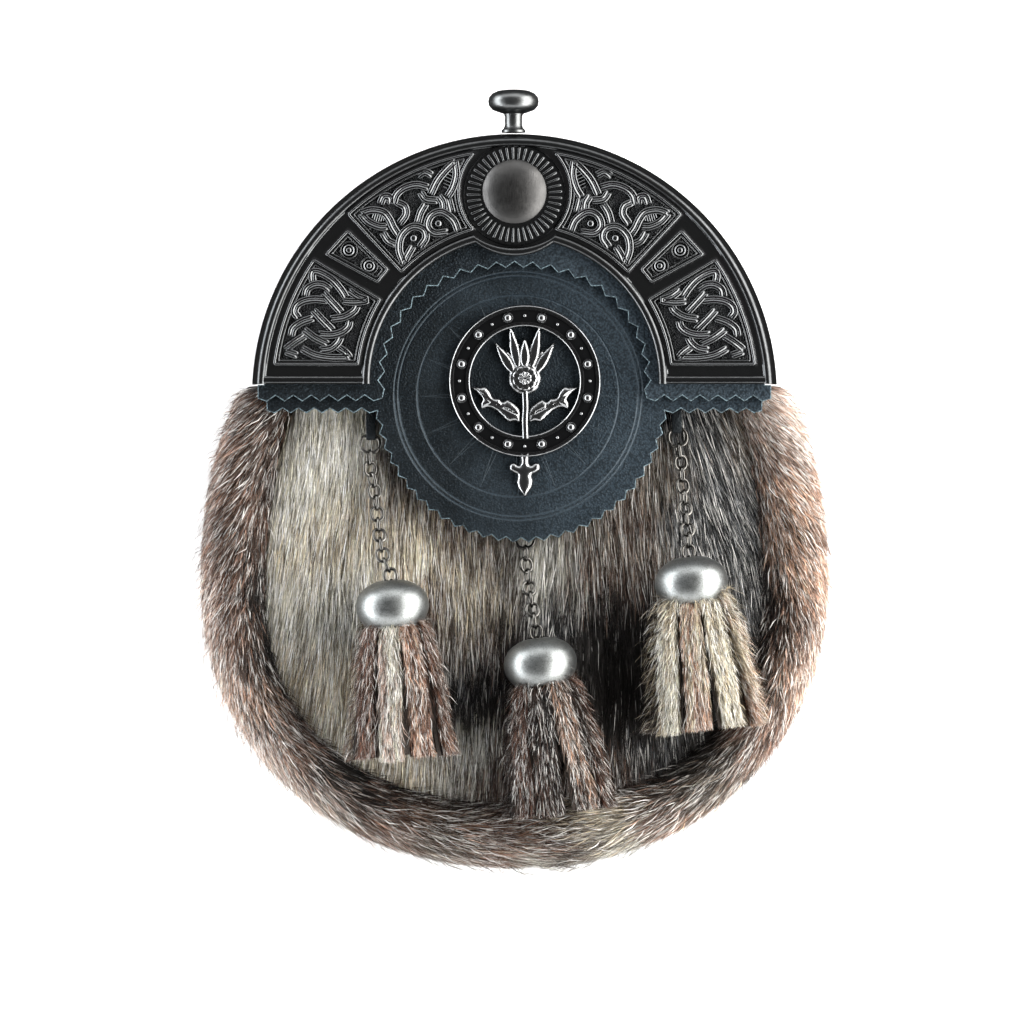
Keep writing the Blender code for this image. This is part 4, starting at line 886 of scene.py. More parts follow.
def add_fur(name, lines, normals, colours, width, seed):
    """Hairs as thin tapered ribbons, each rolled a little about its own line. Pale hairs are thicker."""
    rng = np.random.default_rng(seed)
    count, levels = lines.shape[:2]
    heading = np.gradient(lines, axis=1)
    heading /= np.maximum(np.linalg.norm(heading, axis=2, keepdims=True), 1e-9)
    side = np.cross(heading, normals)
    side /= np.maximum(np.linalg.norm(side, axis=2, keepdims=True), 1e-9)
    roll = rng.normal(0.0, HAIR_SHAPE["roll"], (count, 1, 1))
    side = side * np.cos(roll) + normals * np.sin(roll)
    paleness = smooth_step(colours[:, -1].mean(axis=1) / HAIR_SHAPE["pale"])
    widths = width * rng.uniform(*HAIR_SHAPE["widths"], count)
    widths *= HAIR_SHAPE["dark_width"] + HAIR_SHAPE["pale_width"] * paleness
    half = 0.5 * widths[:, None, None] * np.array(HAIR_WIDTHS)[None, :, None]
    body = lines[:, :-1]
    left, right = body - side[:, :-1] * half, body + side[:, :-1] * half
    pairs = np.stack([left, right], axis=2).reshape(count, -1, 3)
    points = np.concatenate([pairs, lines[:, -1:]], axis=1)
    each = points.shape[1]
    start = (np.arange(count) * each)[:, None]
    quads = []
    for level in range(levels - 2):
        quads.append(start + np.array([2 * level, 2 * level + 1, 2 * level + 3, 2 * level + 2]))
    quads = np.concatenate(quads)
    tips = start + np.array([each - 3, each - 2, each - 1])
    obj = add_piece(name, points, quads.tolist() + tips.tolist(), [HAIR])
    point_colours = np.concatenate([np.repeat(colours[:, :-1], 2, axis=1), colours[:, -1:]], axis=1)
    set_values(obj, "coat", point_colours.reshape(-1, 3))
    lay_out_hairs(obj, count, each)
    return obj


def add_two_furs(names, lines, normals, colours, fur):
    """The hairs in two pieces, with every second hair in each, so that neither is too large."""
    halves = np.arange(len(lines)) % 2
    made = []
    for half, name in enumerate(names):
        chosen = halves == half
        hairs = (lines[chosen], normals[chosen], colours[chosen])
        made.append(add_fur(name, *hairs, fur["width"], fur["seed"] + half))
    return made


def lay_out_hairs(obj, count, each):
    """A flat map with a cell of its own for each hair."""
    cells = math.ceil(math.sqrt(count))
    hair = np.arange(count)
    corner = np.stack([hair % cells, hair // cells], axis=1)[:, None]
    levels = (each - 1) // 2
    across = np.array([0.2, 0.8] * levels + [0.5])
    along = np.array([level / levels for level in range(levels) for _ in (0, 1)] + [1.0]) * 0.8 + 0.1
    spots = ((corner + np.stack([across, along], axis=1)[None]) / cells).reshape(-1, 2)
    corners = np.empty(len(obj.data.loops), np.int32)
    obj.data.loops.foreach_get("vertex_index", corners)
    flat_map = obj.data.uv_layers.new(name="OFBake")
    flat_map.uv.foreach_set("vector", spots[corners].astype(np.float32).ravel())


def stray_rise(fur, count, rng):
    """How many times higher each hair rises: a few stray ones more than the others."""
    share, higher = fur["stray"]
    return np.where(rng.uniform(0, 1, count) < share, higher, 1.0)


def hair_colours(coats, whites, streak, rng):
    """A colour for each level of each hair. The streak makes whole locks paler or darker."""
    count = len(coats)
    levels = np.array(HAIR_LEVELS)[None, :, None]
    root, body, tip = coats[:, 0:1], coats[:, 1:2], coats[:, 2:3]
    colours = root + (body - root) * smooth_step(levels / 0.5)
    tipped = rng.uniform(0.0, 1.0, (count, 1, 1)) ** HAIR_TINT["tip_power"]
    colours = colours + (tip - colours) * smooth_step((levels - 0.5) / 0.5) * tipped
    colours = colours * np.exp(rng.normal(0.0, HAIR_TINT["scatter"], (count, 1, 1)) + streak[:, None, None])
    white = rng.uniform(0, 1, (count, 1, 1)) < whites[:, None, None]
    white = white * smooth_step(levels / HAIR_TINT["white_from"])
    to_white = np.array(light(WHITE_HAIR)) - colours
    colours = colours + to_white * white * rng.uniform(*HAIR_TINT["white"], (count, 1, 1))
    return np.clip(colours, 0.0, HAIR_TINT["palest"])


def lock_streak(clumps):
    """How much paler or darker each hair is for its lock, and its painted shade near the lock's side."""
    off_side = np.abs(clumps[1]) / (0.5 * CLUMP["across"])
    painted_gap_shade = LOCK_TINT["side"] * np.minimum(off_side, LOCK_TINT["gap_shade_reach"]) ** 2
    return LOCK_TINT["scatter"] * (clumps[2][:, 1] - 0.5) - painted_gap_shade + LOCK_TINT["paler"]


# ---------------------------------------------------------------- the bag


def oval_point(shape, angle):
    """A point of a two-part oval. The angle runs from X, and below zero it is on the lower half."""
    power = 2 / shape["squareness"]
    along, across = math.cos(angle), math.sin(angle)
    height = shape["up"] if across > 0 else shape["down"]
    x = shape["half_width"] * math.copysign(abs(along) ** power, along)
    y = shape["middle_y"] + height * math.copysign(abs(across) ** power, across)
    return x, y


def bag_edge(share):
    """The gusset's outline and its seam, from the cantle's right end round the bottom to the left end."""
    pair = []
    for shape in (OUTLINE, SEAM):
        rise = (GUSSET_TOP_Y - shape["middle_y"]) / shape["up"]
        top = math.asin(rise ** (shape["squareness"] / 2))
        pair.append(oval_point(shape, top - share * (2 * top + math.pi)))
    return pair


def edge_table(count):
    """Points of the outline and of the seam, at even steps along the outline, and its length."""
    pairs = np.array([bag_edge(share) for share in np.linspace(0, 1, 2001)])
    lengths = line_lengths(pairs[:, 0])
    goals = np.linspace(0, lengths[-1], count)
    table = np.stack([np.interp(goals, lengths, values) for values in pairs.reshape(-1, 4).T], axis=1)
    return table[:, :2], table[:, 2:], lengths[-1]


GUSSET_HIDE_STEPS = 200
FRONT_RINGS = 15


def skin_profile():
    """The gusset's skin in section, under the pile."""
    rows = []
    for row in GUSSET_SKIN:
        spot = np.array([row["inward"], row["height"]])
        inside = np.array(GUSSET_CORE) - spot
        rows.append(spot + inside / np.linalg.norm(inside) * row["pile"])
    return spline(rows, 5)


def gusset_rings(profile, count):
    """A section repeated along the outline, as a grid of points, and the outline's length."""
    outer, seam, length = edge_table(count)
    share = profile[:, 0] / GUSSET_SEAM_DEPTH
    plan = outer[:, None] + (seam - outer)[:, None] * share[None, :, None]
    height = np.broadcast_to(profile[:, 1], plan.shape[:2])[..., None]
    return np.concatenate([plan, height], axis=2), length


def build_gusset_hide():
    """The gusset's skin and its lining, as one closed wall."""
    profile = skin_profile()
    lining = np.array([(row["inward"], row["height"]) for row in GUSSET_LINING])
    rings = gusset_rings(np.concatenate([profile, lining]), GUSSET_HIDE_STEPS)[0]
    rows, columns = rings.shape[:2]
    faces = grid_faces(rows, columns, round_columns=True).tolist() + end_caps(rows, columns, turn=True)
    lined = np.arange(columns) >= len(profile) - 1
    slots = [1 if lined[i % columns] else 0 for i in range((rows - 1) * columns)] + [1, 1]
    skin = add_piece("gusset_hide", rings, faces, [HIDE, FLESH_SIDE], slots, crease=50)
    flat = rings.reshape(-1, 3)
    set_values(skin, "coat", patch_coats(flat[:, 0], flat[:, 1], GUSSET_PATCHES)[0][:, 0])
    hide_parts("gusset")


def seam_shade(row, y):
    """How much darker the painted shade makes hairs beside the seam, by their height on the front."""
    return row["least"] + row["more_low"] * smooth_step((LOW_DOWN["start"] - y) / LOW_DOWN["run"])


def build_gusset_fur():
    """The gusset's hairs. Those of the two sides meet a little right of the middle of the bottom."""
    rings, length = gusset_rings(skin_profile(), GUSSET_SURFACE["steps"])
    sheet = make_sheet(rings)
    rng = np.random.default_rng(GUSSET_FUR["seed"])
    count = GUSSET_FUR["hairs"]
    last_row, last_column = rings.shape[0] - 1, rings.shape[1] - 1
    row = rng.uniform(0, last_row, count)
    column = rng.uniform(0, 1, count) ** GUSSET_SURFACE["crowding"] * last_column * GUSSET_SURFACE["covered"]
    spot = look_up(sheet["points"], row, column)
    across_share = column / last_column
    along_mm = row / last_row * length
    across_mm = across_share * GUSSET_SURFACE["width"]
    clumps = clump_offsets(along_mm, across_mm, GUSSET_FUR["seed"])

    # Which way the hairs lie
    lean = np.interp(spot[:, 1], GUSSET_LEAN["y"], GUSSET_LEAN["degrees"])
    lean += GUSSET_LEAN["outwards"] * (across_share - 0.25)
    lean += wave("gusset_lean", along_mm, across_mm) + rng.normal(0, 5, count)
    parting_x = PARTING_X + wave("gusset_parting", across_mm, along_mm * 0)
    to_left = (spot[:, 0] < parting_x) & (spot[:, 1] < GUSSET_TOP_Y)
    heading = np.where(to_left, math.pi - np.radians(lean), np.radians(lean))
    bend = rng.normal(0, GUSSET_FUR["bend"], count)

    # Longer at the bottom of the bag, with some stray hairs, and short and close towards the back
    size = GUSSET_FUR["length"] * rng.uniform(*GUSSET_FUR["lengths"], count)
    size *= 1 + BOTTOM_LOCKS["longer"] * change(BOTTOM_LOCKS, -spot[:, 1])
    rise = GUSSET_FUR["rise"] * rng.uniform(*GUSSET_FUR["rises"], count)
    rise *= stray_rise(GUSSET_FUR, count, rng)
    low = change(WALL_LOCKS, across_share)
    size *= 1 - WALL_LOCKS["shorter"] * low
    rise *= 1 - WALL_LOCKS["flatter"] * low
    move = clumps[1] * rng.uniform(*GUSSET_FUR["pull"], count)
    lines, normals = grow(sheet, row, column, heading, bend, size, rise, move)
    lines[..., 2] = np.maximum(lines[..., 2], 0.1)

    # Down the outer wall the coat is duller, with fewer white hairs
    at_x, at_y = spot[:, 0] + rng.normal(0, 1.5, count), spot[:, 1] + rng.normal(0, 1.5, count)
    coats, whites = patch_coats(at_x, at_y, GUSSET_PATCHES, clumps[2][:, 0])
    dull = change(WALL_DULL, across_share)
    to_grey = coats.mean(axis=2, keepdims=True) - coats
    coats = coats + to_grey * WALL_DULL["grey"] * dull[:, None, None]
    whites = whites * (1 - WALL_DULL["fewer_whites"] * dull)

    # Painted light and shade: palest on the crown of the roll, and painted shade down the wall and beside the
    # seam, most of all low down
    streak = wave("gusset_streak", along_mm, across_mm) + 0.42 * lock_streak(clumps)
    streak += CROWN_PAINTED_LIGHT["paler"] * change(CROWN_PAINTED_LIGHT, across_share) - 0.12
    streak -= WALL_PAINTED_SHADE["darker"] * change(WALL_PAINTED_SHADE, across_share)
    beside_seam = smooth_step((PAINTED_SEAM_SHADE["start"] - across_share) / PAINTED_SEAM_SHADE["run"])
    streak -= seam_shade(PAINTED_SEAM_SHADE, spot[:, 1]) * beside_seam
    colours = hair_colours(coats, whites, streak, rng)
    for fur in add_two_furs(("gusset_hair", "gusset_guard_hair"), lines, normals, colours, GUSSET_FUR):
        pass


def front_height(x, y):
    """The front panel's height without its pile: flat in the middle, down at the seam, up at the top."""
    floor = FRONT_Z - LOCK_RELIEF
    z = floor - (floor - FRONT_EDGE_Z) * np.minimum(seam_nearness(x, y), 1.1) ** FRONT_ROUNDNESS
    ramp_share = smooth_step((y - FRONT_RAMP[0]) / (FRONT_RAMP[1] - FRONT_RAMP[0]))
    return z + (FLAP_LOW_Z - TOUCH_GAP - z) * ramp_share


def seam_nearness(x, y):
    """How near a point of the plan is to the seam: 1 on it, and less inside it."""
    height = np.where(y > SEAM["middle_y"], SEAM["up"], SEAM["down"])
    across = np.abs(x) / SEAM["half_width"]
    along = np.abs(y - SEAM["middle_y"]) / height
    return (across ** SEAM["squareness"] + along ** SEAM["squareness"]) ** (1 / SEAM["squareness"])


def front_edge():
    """The front panel's outline, as in the part's source."""
    edge = []
    for i in range(201):
        outer, seam = bag_edge(i / 200)
        edge.append(between(seam, outer, -2 * TOUCH_GAP / GUSSET_SEAM_DEPTH))
    rise = (FRONT_TOP_Y - SEAM["middle_y"]) / SEAM["up"]
    half_width = oval_point(SEAM, math.asin(rise ** (SEAM["squareness"] / 2)))[0]
    top = [(-half_width + 2 * half_width * i / 60, FRONT_TOP_Y) for i in range(61)]
    return np.array(edge + top)


def build_front_hide():
    """The front panel's wall, in rings from its edge to its middle."""
    edge = front_edge()
    middle = np.array([0.0, SEAM["middle_y"]])
    plan = np.array([middle + (edge - middle) * share for share in np.linspace(1.0, 0.0, FRONT_RINGS)[:-1]])
    top = np.concatenate([plan, front_height(plan[..., 0], plan[..., 1])[..., None]], axis=2)
    low = top - (0.0, 0.0, FRONT_WALL)
    rows, columns = top.shape[:2]
    points = np.concatenate([top.reshape(-1, 3), low.reshape(-1, 3)])
    upper = grid_faces(rows, columns, round_columns=True)
    lower = upper[:, ::-1] + rows * columns
    wall = np.arange(columns)
    beside = (wall + 1) % columns
    wall = np.stack([wall, wall + rows * columns, beside + rows * columns, beside], 1)
    ends = [tuple(range((rows - 1) * columns, rows * columns))]
    ends.append(tuple(reversed(range((2 * rows - 1) * columns, 2 * rows * columns))))
    faces = upper.tolist() + lower.tolist() + wall.tolist() + ends
    slots = [0] * len(upper) + [1] * (len(lower) + len(wall)) + [0, 1]
    skin = add_piece("front_hide", points, faces, [HIDE, FLESH_SIDE], slots, crease=50)
    set_values(skin, "coat", patch_coats(points[:, 0], points[:, 1], FRONT_PATCHES)[0][:, 0])
    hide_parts("front_panel")


def front_roots(rng):
    """Where hairs grow on the front panel: inside its seam, and not far under the flap."""
    tries = int(FRONT_FUR["hairs"] * FRONT_ROOTS["spare"])
    x = rng.uniform(*FRONT_ROOTS["x"], tries)
    y = rng.uniform(*FRONT_ROOTS["y"], tries)
    from_disc = np.hypot(x - FLAP_DISC["x"], y - FLAP_DISC["y"])
    under_flap = from_disc < FLAP_DISC["radius"] - FRONT_ROOTS["under_disc"]
    under_flap |= y > FLAP_WING_Y + FRONT_ROOTS["under_wings"]
    painted_badge_shade = (seam_nearness(x, y) < 0.985) & ~under_flap
    return x[painted_badge_shade][: FRONT_FUR["hairs"]], y[painted_badge_shade][: FRONT_FUR["hairs"]]


def build_front_fur():
    """The front panel's hairs. They lie downwards, and spread a little to both sides."""
    surface = FRONT_SURFACE
    y_steps = np.linspace(surface["top"], surface["bottom"], surface["rows"])
    x_steps = np.linspace(-surface["half_width"], surface["half_width"], surface["columns"])
    y, x = np.meshgrid(y_steps, x_steps, indexing="ij")
    sheet = make_sheet(np.stack([x, y, front_height(x, y)], axis=2))
    rng = np.random.default_rng(FRONT_FUR["seed"])
    root_x, root_y = front_roots(rng)
    count = len(root_x)
    row = (surface["top"] - root_y) / (surface["top"] - surface["bottom"]) * (surface["rows"] - 1)
    column = (root_x + surface["half_width"]) / (2 * surface["half_width"]) * (surface["columns"] - 1)
    clumps = clump_offsets(-root_y + 200, root_x + 200, FRONT_FUR["seed"])

    # The lean is stronger at the upper right
    corner = FRONT_LEAN["upper_right"] * change(FRONT_RIGHT, root_x) * change(FRONT_UPPER, root_y)
    lean = FRONT_LEAN["spread"] * root_x / FRONT_LEAN["half_width"] + corner
    lean += wave("front_lean", root_x, root_y) + rng.normal(0, FRONT_LEAN["scatter"], count)
    bend = rng.normal(0, FRONT_FUR["bend"], count)
    size = FRONT_FUR["length"] * rng.uniform(*FRONT_FUR["lengths"], count)
    rise = FRONT_FUR["rise"] * rng.uniform(*FRONT_FUR["rises"], count)
    move = clumps[1] * rng.uniform(*FRONT_FUR["pull"], count)
    lines, normals = grow(sheet, row, column, np.radians(lean), bend, size, rise, move)
    lines[..., 2] = np.minimum(lines[..., 2], FLAP_LOW_Z - TOUCH_GAP)

    # Painted shade beside the seam, most of all low down
    at_x, at_y = root_x + rng.normal(0, 1.0, count), root_y - 4 + rng.normal(0, 3, count)
    coats, whites = patch_coats(at_x, at_y, FRONT_PATCHES, clumps[2][:, 0])
    streak = wave("front_streak", root_x, root_y) + lock_streak(clumps)
    streak += wave("front_tone", root_x, root_y)
    streak += 0.08
    streak -= seam_shade(PAINTED_FRONT_SEAM_SHADE, root_y) * change(PAINTED_FRONT_SEAM_SHADE, seam_nearness(root_x, root_y))
    colours = hair_colours(coats, whites, streak, rng)
    for fur in add_two_furs(("front_hair", "front_guard_hair"), lines, normals, colours, FRONT_FUR):
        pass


# ---------------------------------------------------------------- the leather front

EDGE_ROUND = 0.26
ARC_STEPS = 60


def angle_at(height, radius):
    """The angle in degrees at which a circle is that high above its middle."""
    return math.degrees(math.asin(height / radius))


def leather_sheet(name, outline, low_z, face):
    """A flat sheet: face, flesh side, cut edge and the face's chamfer, painted pale as a highlight, differ.
    """
    mesh = flat_mesh(name, outline, low_z, LEATHER, EDGE_ROUND)
    mesh.materials.clear()
    for material in (face, PAINTED_EDGE_SHEEN, FLESH_SIDE, CUT_EDGE):
        mesh.materials.append(material)
    for polygon in mesh.polygons:
        up = polygon.normal.z
        polygon.material_index = 0 if up > 0.95 else 1 if up > 0.1 else 2 if up < -0.95 else 3
    obj = show(name, mesh)
    return obj


def build_flap():
    """The pinked disc with its two wings. Its upper part runs up behind the cantle."""
    disc = FLAP_DISC
    wing_angle = angle_at(FLAP_WING_Y - RING_Y, FLAP_RADIUS)
    top = arc(0.0, RING_Y, FLAP_RADIUS, wing_angle, 180.0 - wing_angle, ARC_STEPS)
    root = angle_at(disc["y"] - FLAP_WING_Y, disc["radius"])
    rim = arc(disc["x"], disc["y"], disc["radius"], 180.0 + root, 360.0 - root, ARC_STEPS)
    left_wing = pinked([top[-1], rim[0]], FLAP_TOOTH)
    right_wing = pinked([rim[-1], top[0]], FLAP_TOOTH)
    outline = top[:-1] + left_wing[:-1] + pinked(rim, FLAP_TOOTH)[:-1] + right_wing[:-1]
    flap = leather_sheet("flap_leather", outline, FLAP_LOW_Z, FLAP_LEATHER)
    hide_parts("flap")


def build_cantle_backing():
    """The pinked half ring of leather under the cantle."""
    shelf_y = BASE_Y - TOUCH_GAP
    low = angle_at(shelf_y - RING_Y, BACKING_RADIUS)
    top = arc(0.0, RING_Y, BACKING_RADIUS, low, 180.0 - low, ARC_STEPS)
    inner = []
    for i in range(ARC_STEPS + 1):
        share = i / ARC_STEPS
        angle = math.radians(180.0 * (1 - share) + BACKING_INNER["below"] * (1 - 2 * share))
        rise = max(math.sin(angle), 0.0) ** 3
        radius = BACKING_INNER["side_radius"]
        radius += (BACKING_INNER["top_radius"] - radius) * rise
        inner.append((radius * math.cos(angle), BACKING_INNER["y"] + radius * math.sin(angle)))
    side_x = BACKING_HALF_WIDTH
    bottom_left = pinked([(-side_x, BACKING_BOTTOM_Y), inner[0]], BACKING_TOOTH)
    bottom_right = pinked([inner[-1], (side_x, BACKING_BOTTOM_Y)], BACKING_TOOTH)
    outline = top + [(-side_x, shelf_y)] + bottom_left[:-1]
    outline += pinked(inner, BACKING_TOOTH)[:-1] + bottom_right + [(side_x, shelf_y)]
    backing = leather_sheet("cantle_leather", outline, BACKING_LOW_Z, FACE_LEATHER)
    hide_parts("cantle_backing")


def leather_copy(name, node, rounding, material):
    """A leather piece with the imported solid's own shape, with its edges rounded."""
    obj = bpy.data.objects.new(name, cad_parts[node].data.copy())
    obj.data.name = name
    bpy.context.scene.collection.objects.link(obj)
    obj.data.materials.clear()
    obj.data.materials.append(material)
    weld = obj.modifiers.new("weld", "WELD")
    weld.merge_threshold = 0.01 * MM
    edges = obj.modifiers.new("edges", "BEVEL")
    edges.width = rounding * MM
    edges.segments = 3
    edges.limit_method = "ANGLE"
    edges.angle_limit = math.radians(35)
    graph = bpy.context.evaluated_depsgraph_get()
    mesh = bpy.data.meshes.new_from_object(obj.evaluated_get(graph))
    obj.modifiers.clear()
    obj.data = mesh
    mesh.name = name
    mesh.shade_smooth()
    mesh.set_sharp_from_angle(angle=math.radians(40))
    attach(obj, "root")
    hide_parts(node)


# ---------------------------------------------------------------- the cantle

# The knotwork of the right half, as short strands that dive at both their ends
LOWER_KNOT = (
    ((60.4, 59.6), (60.6, 61.2), (60.1, 62.4), (57.8, 61.9), (54.6, 60.0), (52.2, 57.4), (50.6, 55.0)),
    ((62.6, 55.2), (62.0, 57.2), (59.8, 58.5), (57.4, 58.4), (55.4, 57.2)),
    ((57.0, 55.8), (54.6, 53.2), (52.0, 50.4)),
    ((56.4, 53.8), (59.8, 54.1), (63.0, 53.6), (65.2, 52.2), (65.8, 50.2), (64.8, 48.8)),
    ((51.0, 53.5), (47.8, 53.3), (44.2, 53.8), (47.0, 54.9), (49.4, 56.6)),
    ((54.6, 48.2), (51.0, 48.8), (48.2, 50.4), (47.2, 51.8)),
    ((60.0, 50.6), (57.4, 47.8), (54.6, 45.0)),
    ((58.2, 43.6), (55.0, 43.4), (51.8, 44.2), (49.8, 45.8), (49.4, 47.2)),
    ((60.6, 48.4), (63.8, 47.2), (66.2, 45.4), (66.8, 43.4)),
    ((63.0, 43.0), (65.8, 41.2), (68.4, 39.2)),
    ((68.2, 38.4), (65.4, 37.4)),
    ((63.4, 39.2), (59.8, 37.4), (55.0, 36.6), (49.6, 36.6)),
    ((62.8, 44.8), (59.8, 42.6), (56.2, 40.8)),
    ((57.8, 38.9), (55.0, 39.4), (53.0, 41.0), (52.2, 42.4)),
    ((52.6, 39.6), (50.6, 38.2), (49.4, 36.8)),
)
UPPER_KNOT = (
    ((45.9, 79.6), (43.7, 77.3), (40.6, 75.9), (38.4, 75.9)),
    ((45.9, 79.9), (42.8, 80.8), (39.3, 80.2), (37.5, 78.2), (36.2, 75.5), (34.9, 73.6)),
    ((39.3, 73.8), (37.8, 71.6), (35.8, 70.6)),
    ((40.0, 83.0), (39.1, 84.8), (37.3, 84.6), (37.1, 83.0)),
    ((36.2, 83.0), (35.3, 85.5), (32.9, 87.5), (29.4, 88.4), (26.1, 87.7)),
    ((34.9, 83.0), (32.9, 81.9), (32.5, 79.5), (34.2, 76.9)),
    ((28.0, 85.9), (26.5, 84.1), (23.4, 83.7)),
    ((25.0, 85.7), (23.0, 89.7), (20.3, 93.0), (17.9, 95.2)),
    ((17.8, 95.2), (17.4, 91.4), (18.4, 87.5), (19.9, 85.0)),
    ((22.5, 84.8), (21.4, 83.0), (21.2, 80.6)),
    ((19.7, 83.9), (18.8, 80.4)),
    ((33.1, 64.9), (34.5, 68.9), (33.8, 73.1), (30.7, 75.8), (27.4, 75.1), (26.5, 72.5), (28.1, 70.0)),
    ((30.6, 69.6), (31.9, 67.4), (33.0, 65.2)),
    ((16.8, 74.6), (18.4, 78.0), (21.9, 80.3), (25.0, 79.1), (26.0, 76.0), (23.9, 73.9), (20.3, 74.2)),
    ((28.9, 77.3), (28.1, 80.0), (26.7, 82.4)),
    ((28.7, 91.2), (26.9, 92.2), (25.0, 91.4)),
)
KNOT_BOSSES = ((30.2, 72.4), (22.8, 76.8))
ROUNDELS = ((49.6, 68.8), (43.5, 64.1))
# Leaf veins between the two sides of each pointed loop, from start to end
VEINS = (((43.0, 79.4), (39.0, 78.2)), ((18.4, 92.8), (20.8, 87.4)))
VEIN = {"reach": 1.3, "count": 6, "half_width": 0.26, "low": 0.2, "slant": 0.3}
SMALL_PANEL = ((57.1, 67.4), (50.0, 75.2), (37.4, 63.1), (41.0, 58.7))
LOWER_PANEL = {"outer": 73.0, "inner": 46.7, "bottom_y": 34.2, "top": ((60.75, 66.8), (39.75, 54.2))}
UPPER_PANEL = {"outer": 74.1, "inner": 46.8, "hollow": 16.3, "side": ((33.8, 61.6), (51.0, 80.2))}
PANEL_GROUND = 0.3
# Sections of the raised work, from foot to foot: way across and height above the panel's ground
STRAND_SECTION = (
    (-1.0, -0.5), (-0.95, 0.4), (-0.84, 0.64), (-0.66, 0.74), (-0.42, 0.73), (-0.24, 0.62), (-0.1, 0.44),
    (0.1, 0.44), (0.24, 0.62), (0.42, 0.73), (0.66, 0.74), (0.84, 0.64), (0.95, 0.4), (1.0, -0.5),
)
LINE_SECTION = ((-1.0, -0.4), (-0.86, 0.4), (-0.5, 0.66), (0.0, 0.74), (0.5, 0.66), (0.86, 0.4), (1.0, -0.4))
STRAND = {"half_width": 1.28, "step": 0.52}
# How deep a strand lies by its distance from its end, and how far it runs on to pass under its neighbour
DIVE = ((0.0, 1.0), (0.8, 0.34), (1.5, 0.16), (3.6, 0.0))
RUN_ON = 1.1
# The two lines round each panel: how far in, half width and height above the panel's ground
FRAME_LINES = (
    {"inset": 0.5, "half_width": 0.48, "rise": 0.1},
    {"inset": 1.55, "half_width": 0.3, "rise": -0.15},
)
FRAME_STEP = 0.6
PANEL_MIDDLES = ((56.0, 49.0), (47.2, 66.4), (33.5, 77.0))
ROUNDEL_ROUND = (
    (0.06, 0.8), (0.5, 0.74), (0.85, 0.5), (1.0, 0.1), (1.12, 0.1), (1.25, 0.5), (1.5, 0.66), (1.75, 0.5),
    (1.9, 0.1), (2.15, 0.1), (2.3, 0.36), (2.5, 0.44), (2.7, 0.3), (2.85, -0.4),
)
BOSS_SHAPE = ((0.05, 0.72), (0.5, 0.66), (0.9, 0.45), (1.15, 0.1), (1.25, -0.4))
STIPPLE_INSET = 1.9
RIBS = {"x": 0.0, "y": 85.4, "count": 45, "inner": 9.8, "outer": 14.5, "wide": (0.36, 0.6)}
RIB_ENDS = ((0.0, -0.35), (0.12, 0.0), (0.88, 0.0), (1.0, -0.35))
RING_LINE = ((14.9, -0.2), (14.98, 0.32), (15.2, 0.46), (15.42, 0.32), (15.5, -0.2))
BASE_BEAD = {"y": 30.0, "half_width": 1.2, "rise": 0.1, "inset": 1.6, "run_on": 0.4}
LIP_ROUND = (
    (0.0, 0.0), (0.0, 2.1), (0.1, 2.5), (0.35, 2.85), (0.8, 3.1), (1.4, 3.15), (1.9, 3.0), (2.3, 2.65),
    (2.55, 2.2), (2.65, 2.0),
)
RIM_ROUND = (
    (74.9, 2.2), (75.15, 2.65), (75.6, 2.95), (76.2, 3.0), (76.8, 2.75), (77.3, 2.2), (77.6, 1.4),
    (77.75, 0.5), (77.9, -1.0), (78.4, -5.2), (79.15, -9.8), (79.0, -10.2), (78.1, -10.2), (76.2, -1.2),
    (75.4, 0.0),
)
FACE_RADIUS = 74.7
FACE_STEPS = 62
CANTLE_STATIONS = 210
# The base's band has level sections. Above it they turn, and from the first ray on they run from the centre
BASE_BAND = 3.0
FIRST_RAY = 9.5
RIM_SHINE = {"height": (-10.0, -0.5, 1.5, 3.0), "shine": (0.05, 0.1, 0.3, 0.45)}


def line_depth(x, y, start, end):
    """How far points lie to the left of a line from start to end."""
    length = math.dist(start, end)
    across = (end[0] - start[0]) / length
    up = (end[1] - start[1]) / length
    return (y - start[1]) * across - (x - start[0]) * up


def panel_depths(x, y):
    """How far points lie inside the borders of the lower, the small and the upper panel."""
    radius = np.hypot(x, y - RING_Y)
    from_hole = np.hypot(x, y - CANTLE_INNER["y"])
    lower = np.minimum(LOWER_PANEL["outer"] - radius, from_hole - LOWER_PANEL["inner"])
    lower = np.minimum(lower, y - LOWER_PANEL["bottom_y"])
    lower = np.minimum(lower, line_depth(x, y, *LOWER_PANEL["top"]))
    small = np.full_like(x, 99.0)
    for start, end in zip(SMALL_PANEL, SMALL_PANEL[1:] + SMALL_PANEL[:1]):
        small = np.minimum(small, line_depth(x, y, start, end))
    upper = np.minimum(UPPER_PANEL["outer"] - radius, from_hole - UPPER_PANEL["inner"])
    upper = np.minimum(upper, line_depth(x, y, *UPPER_PANEL["side"]))
    upper = np.minimum(upper, np.hypot(x, y - MEDALLION_Y) - UPPER_PANEL["hollow"])
    return lower, small, upper


def panel_outline(index, inset):
    """The outline of a panel, moved in, found along rays from its middle."""
    middle = np.array(PANEL_MIDDLES[index])
    angle = np.linspace(0, 2 * np.pi, 720, endpoint=False)
    ray = np.stack([np.cos(angle), np.sin(angle)], axis=1)
    reach = np.arange(0.0, 30.0, 0.02)
    spots = middle + ray[:, None] * reach[None, :, None]
    depth = panel_depths(spots[..., 0], spots[..., 1])[index]
    last = (depth < inset).argmax(axis=1)
    return middle + ray * reach[last][:, None]


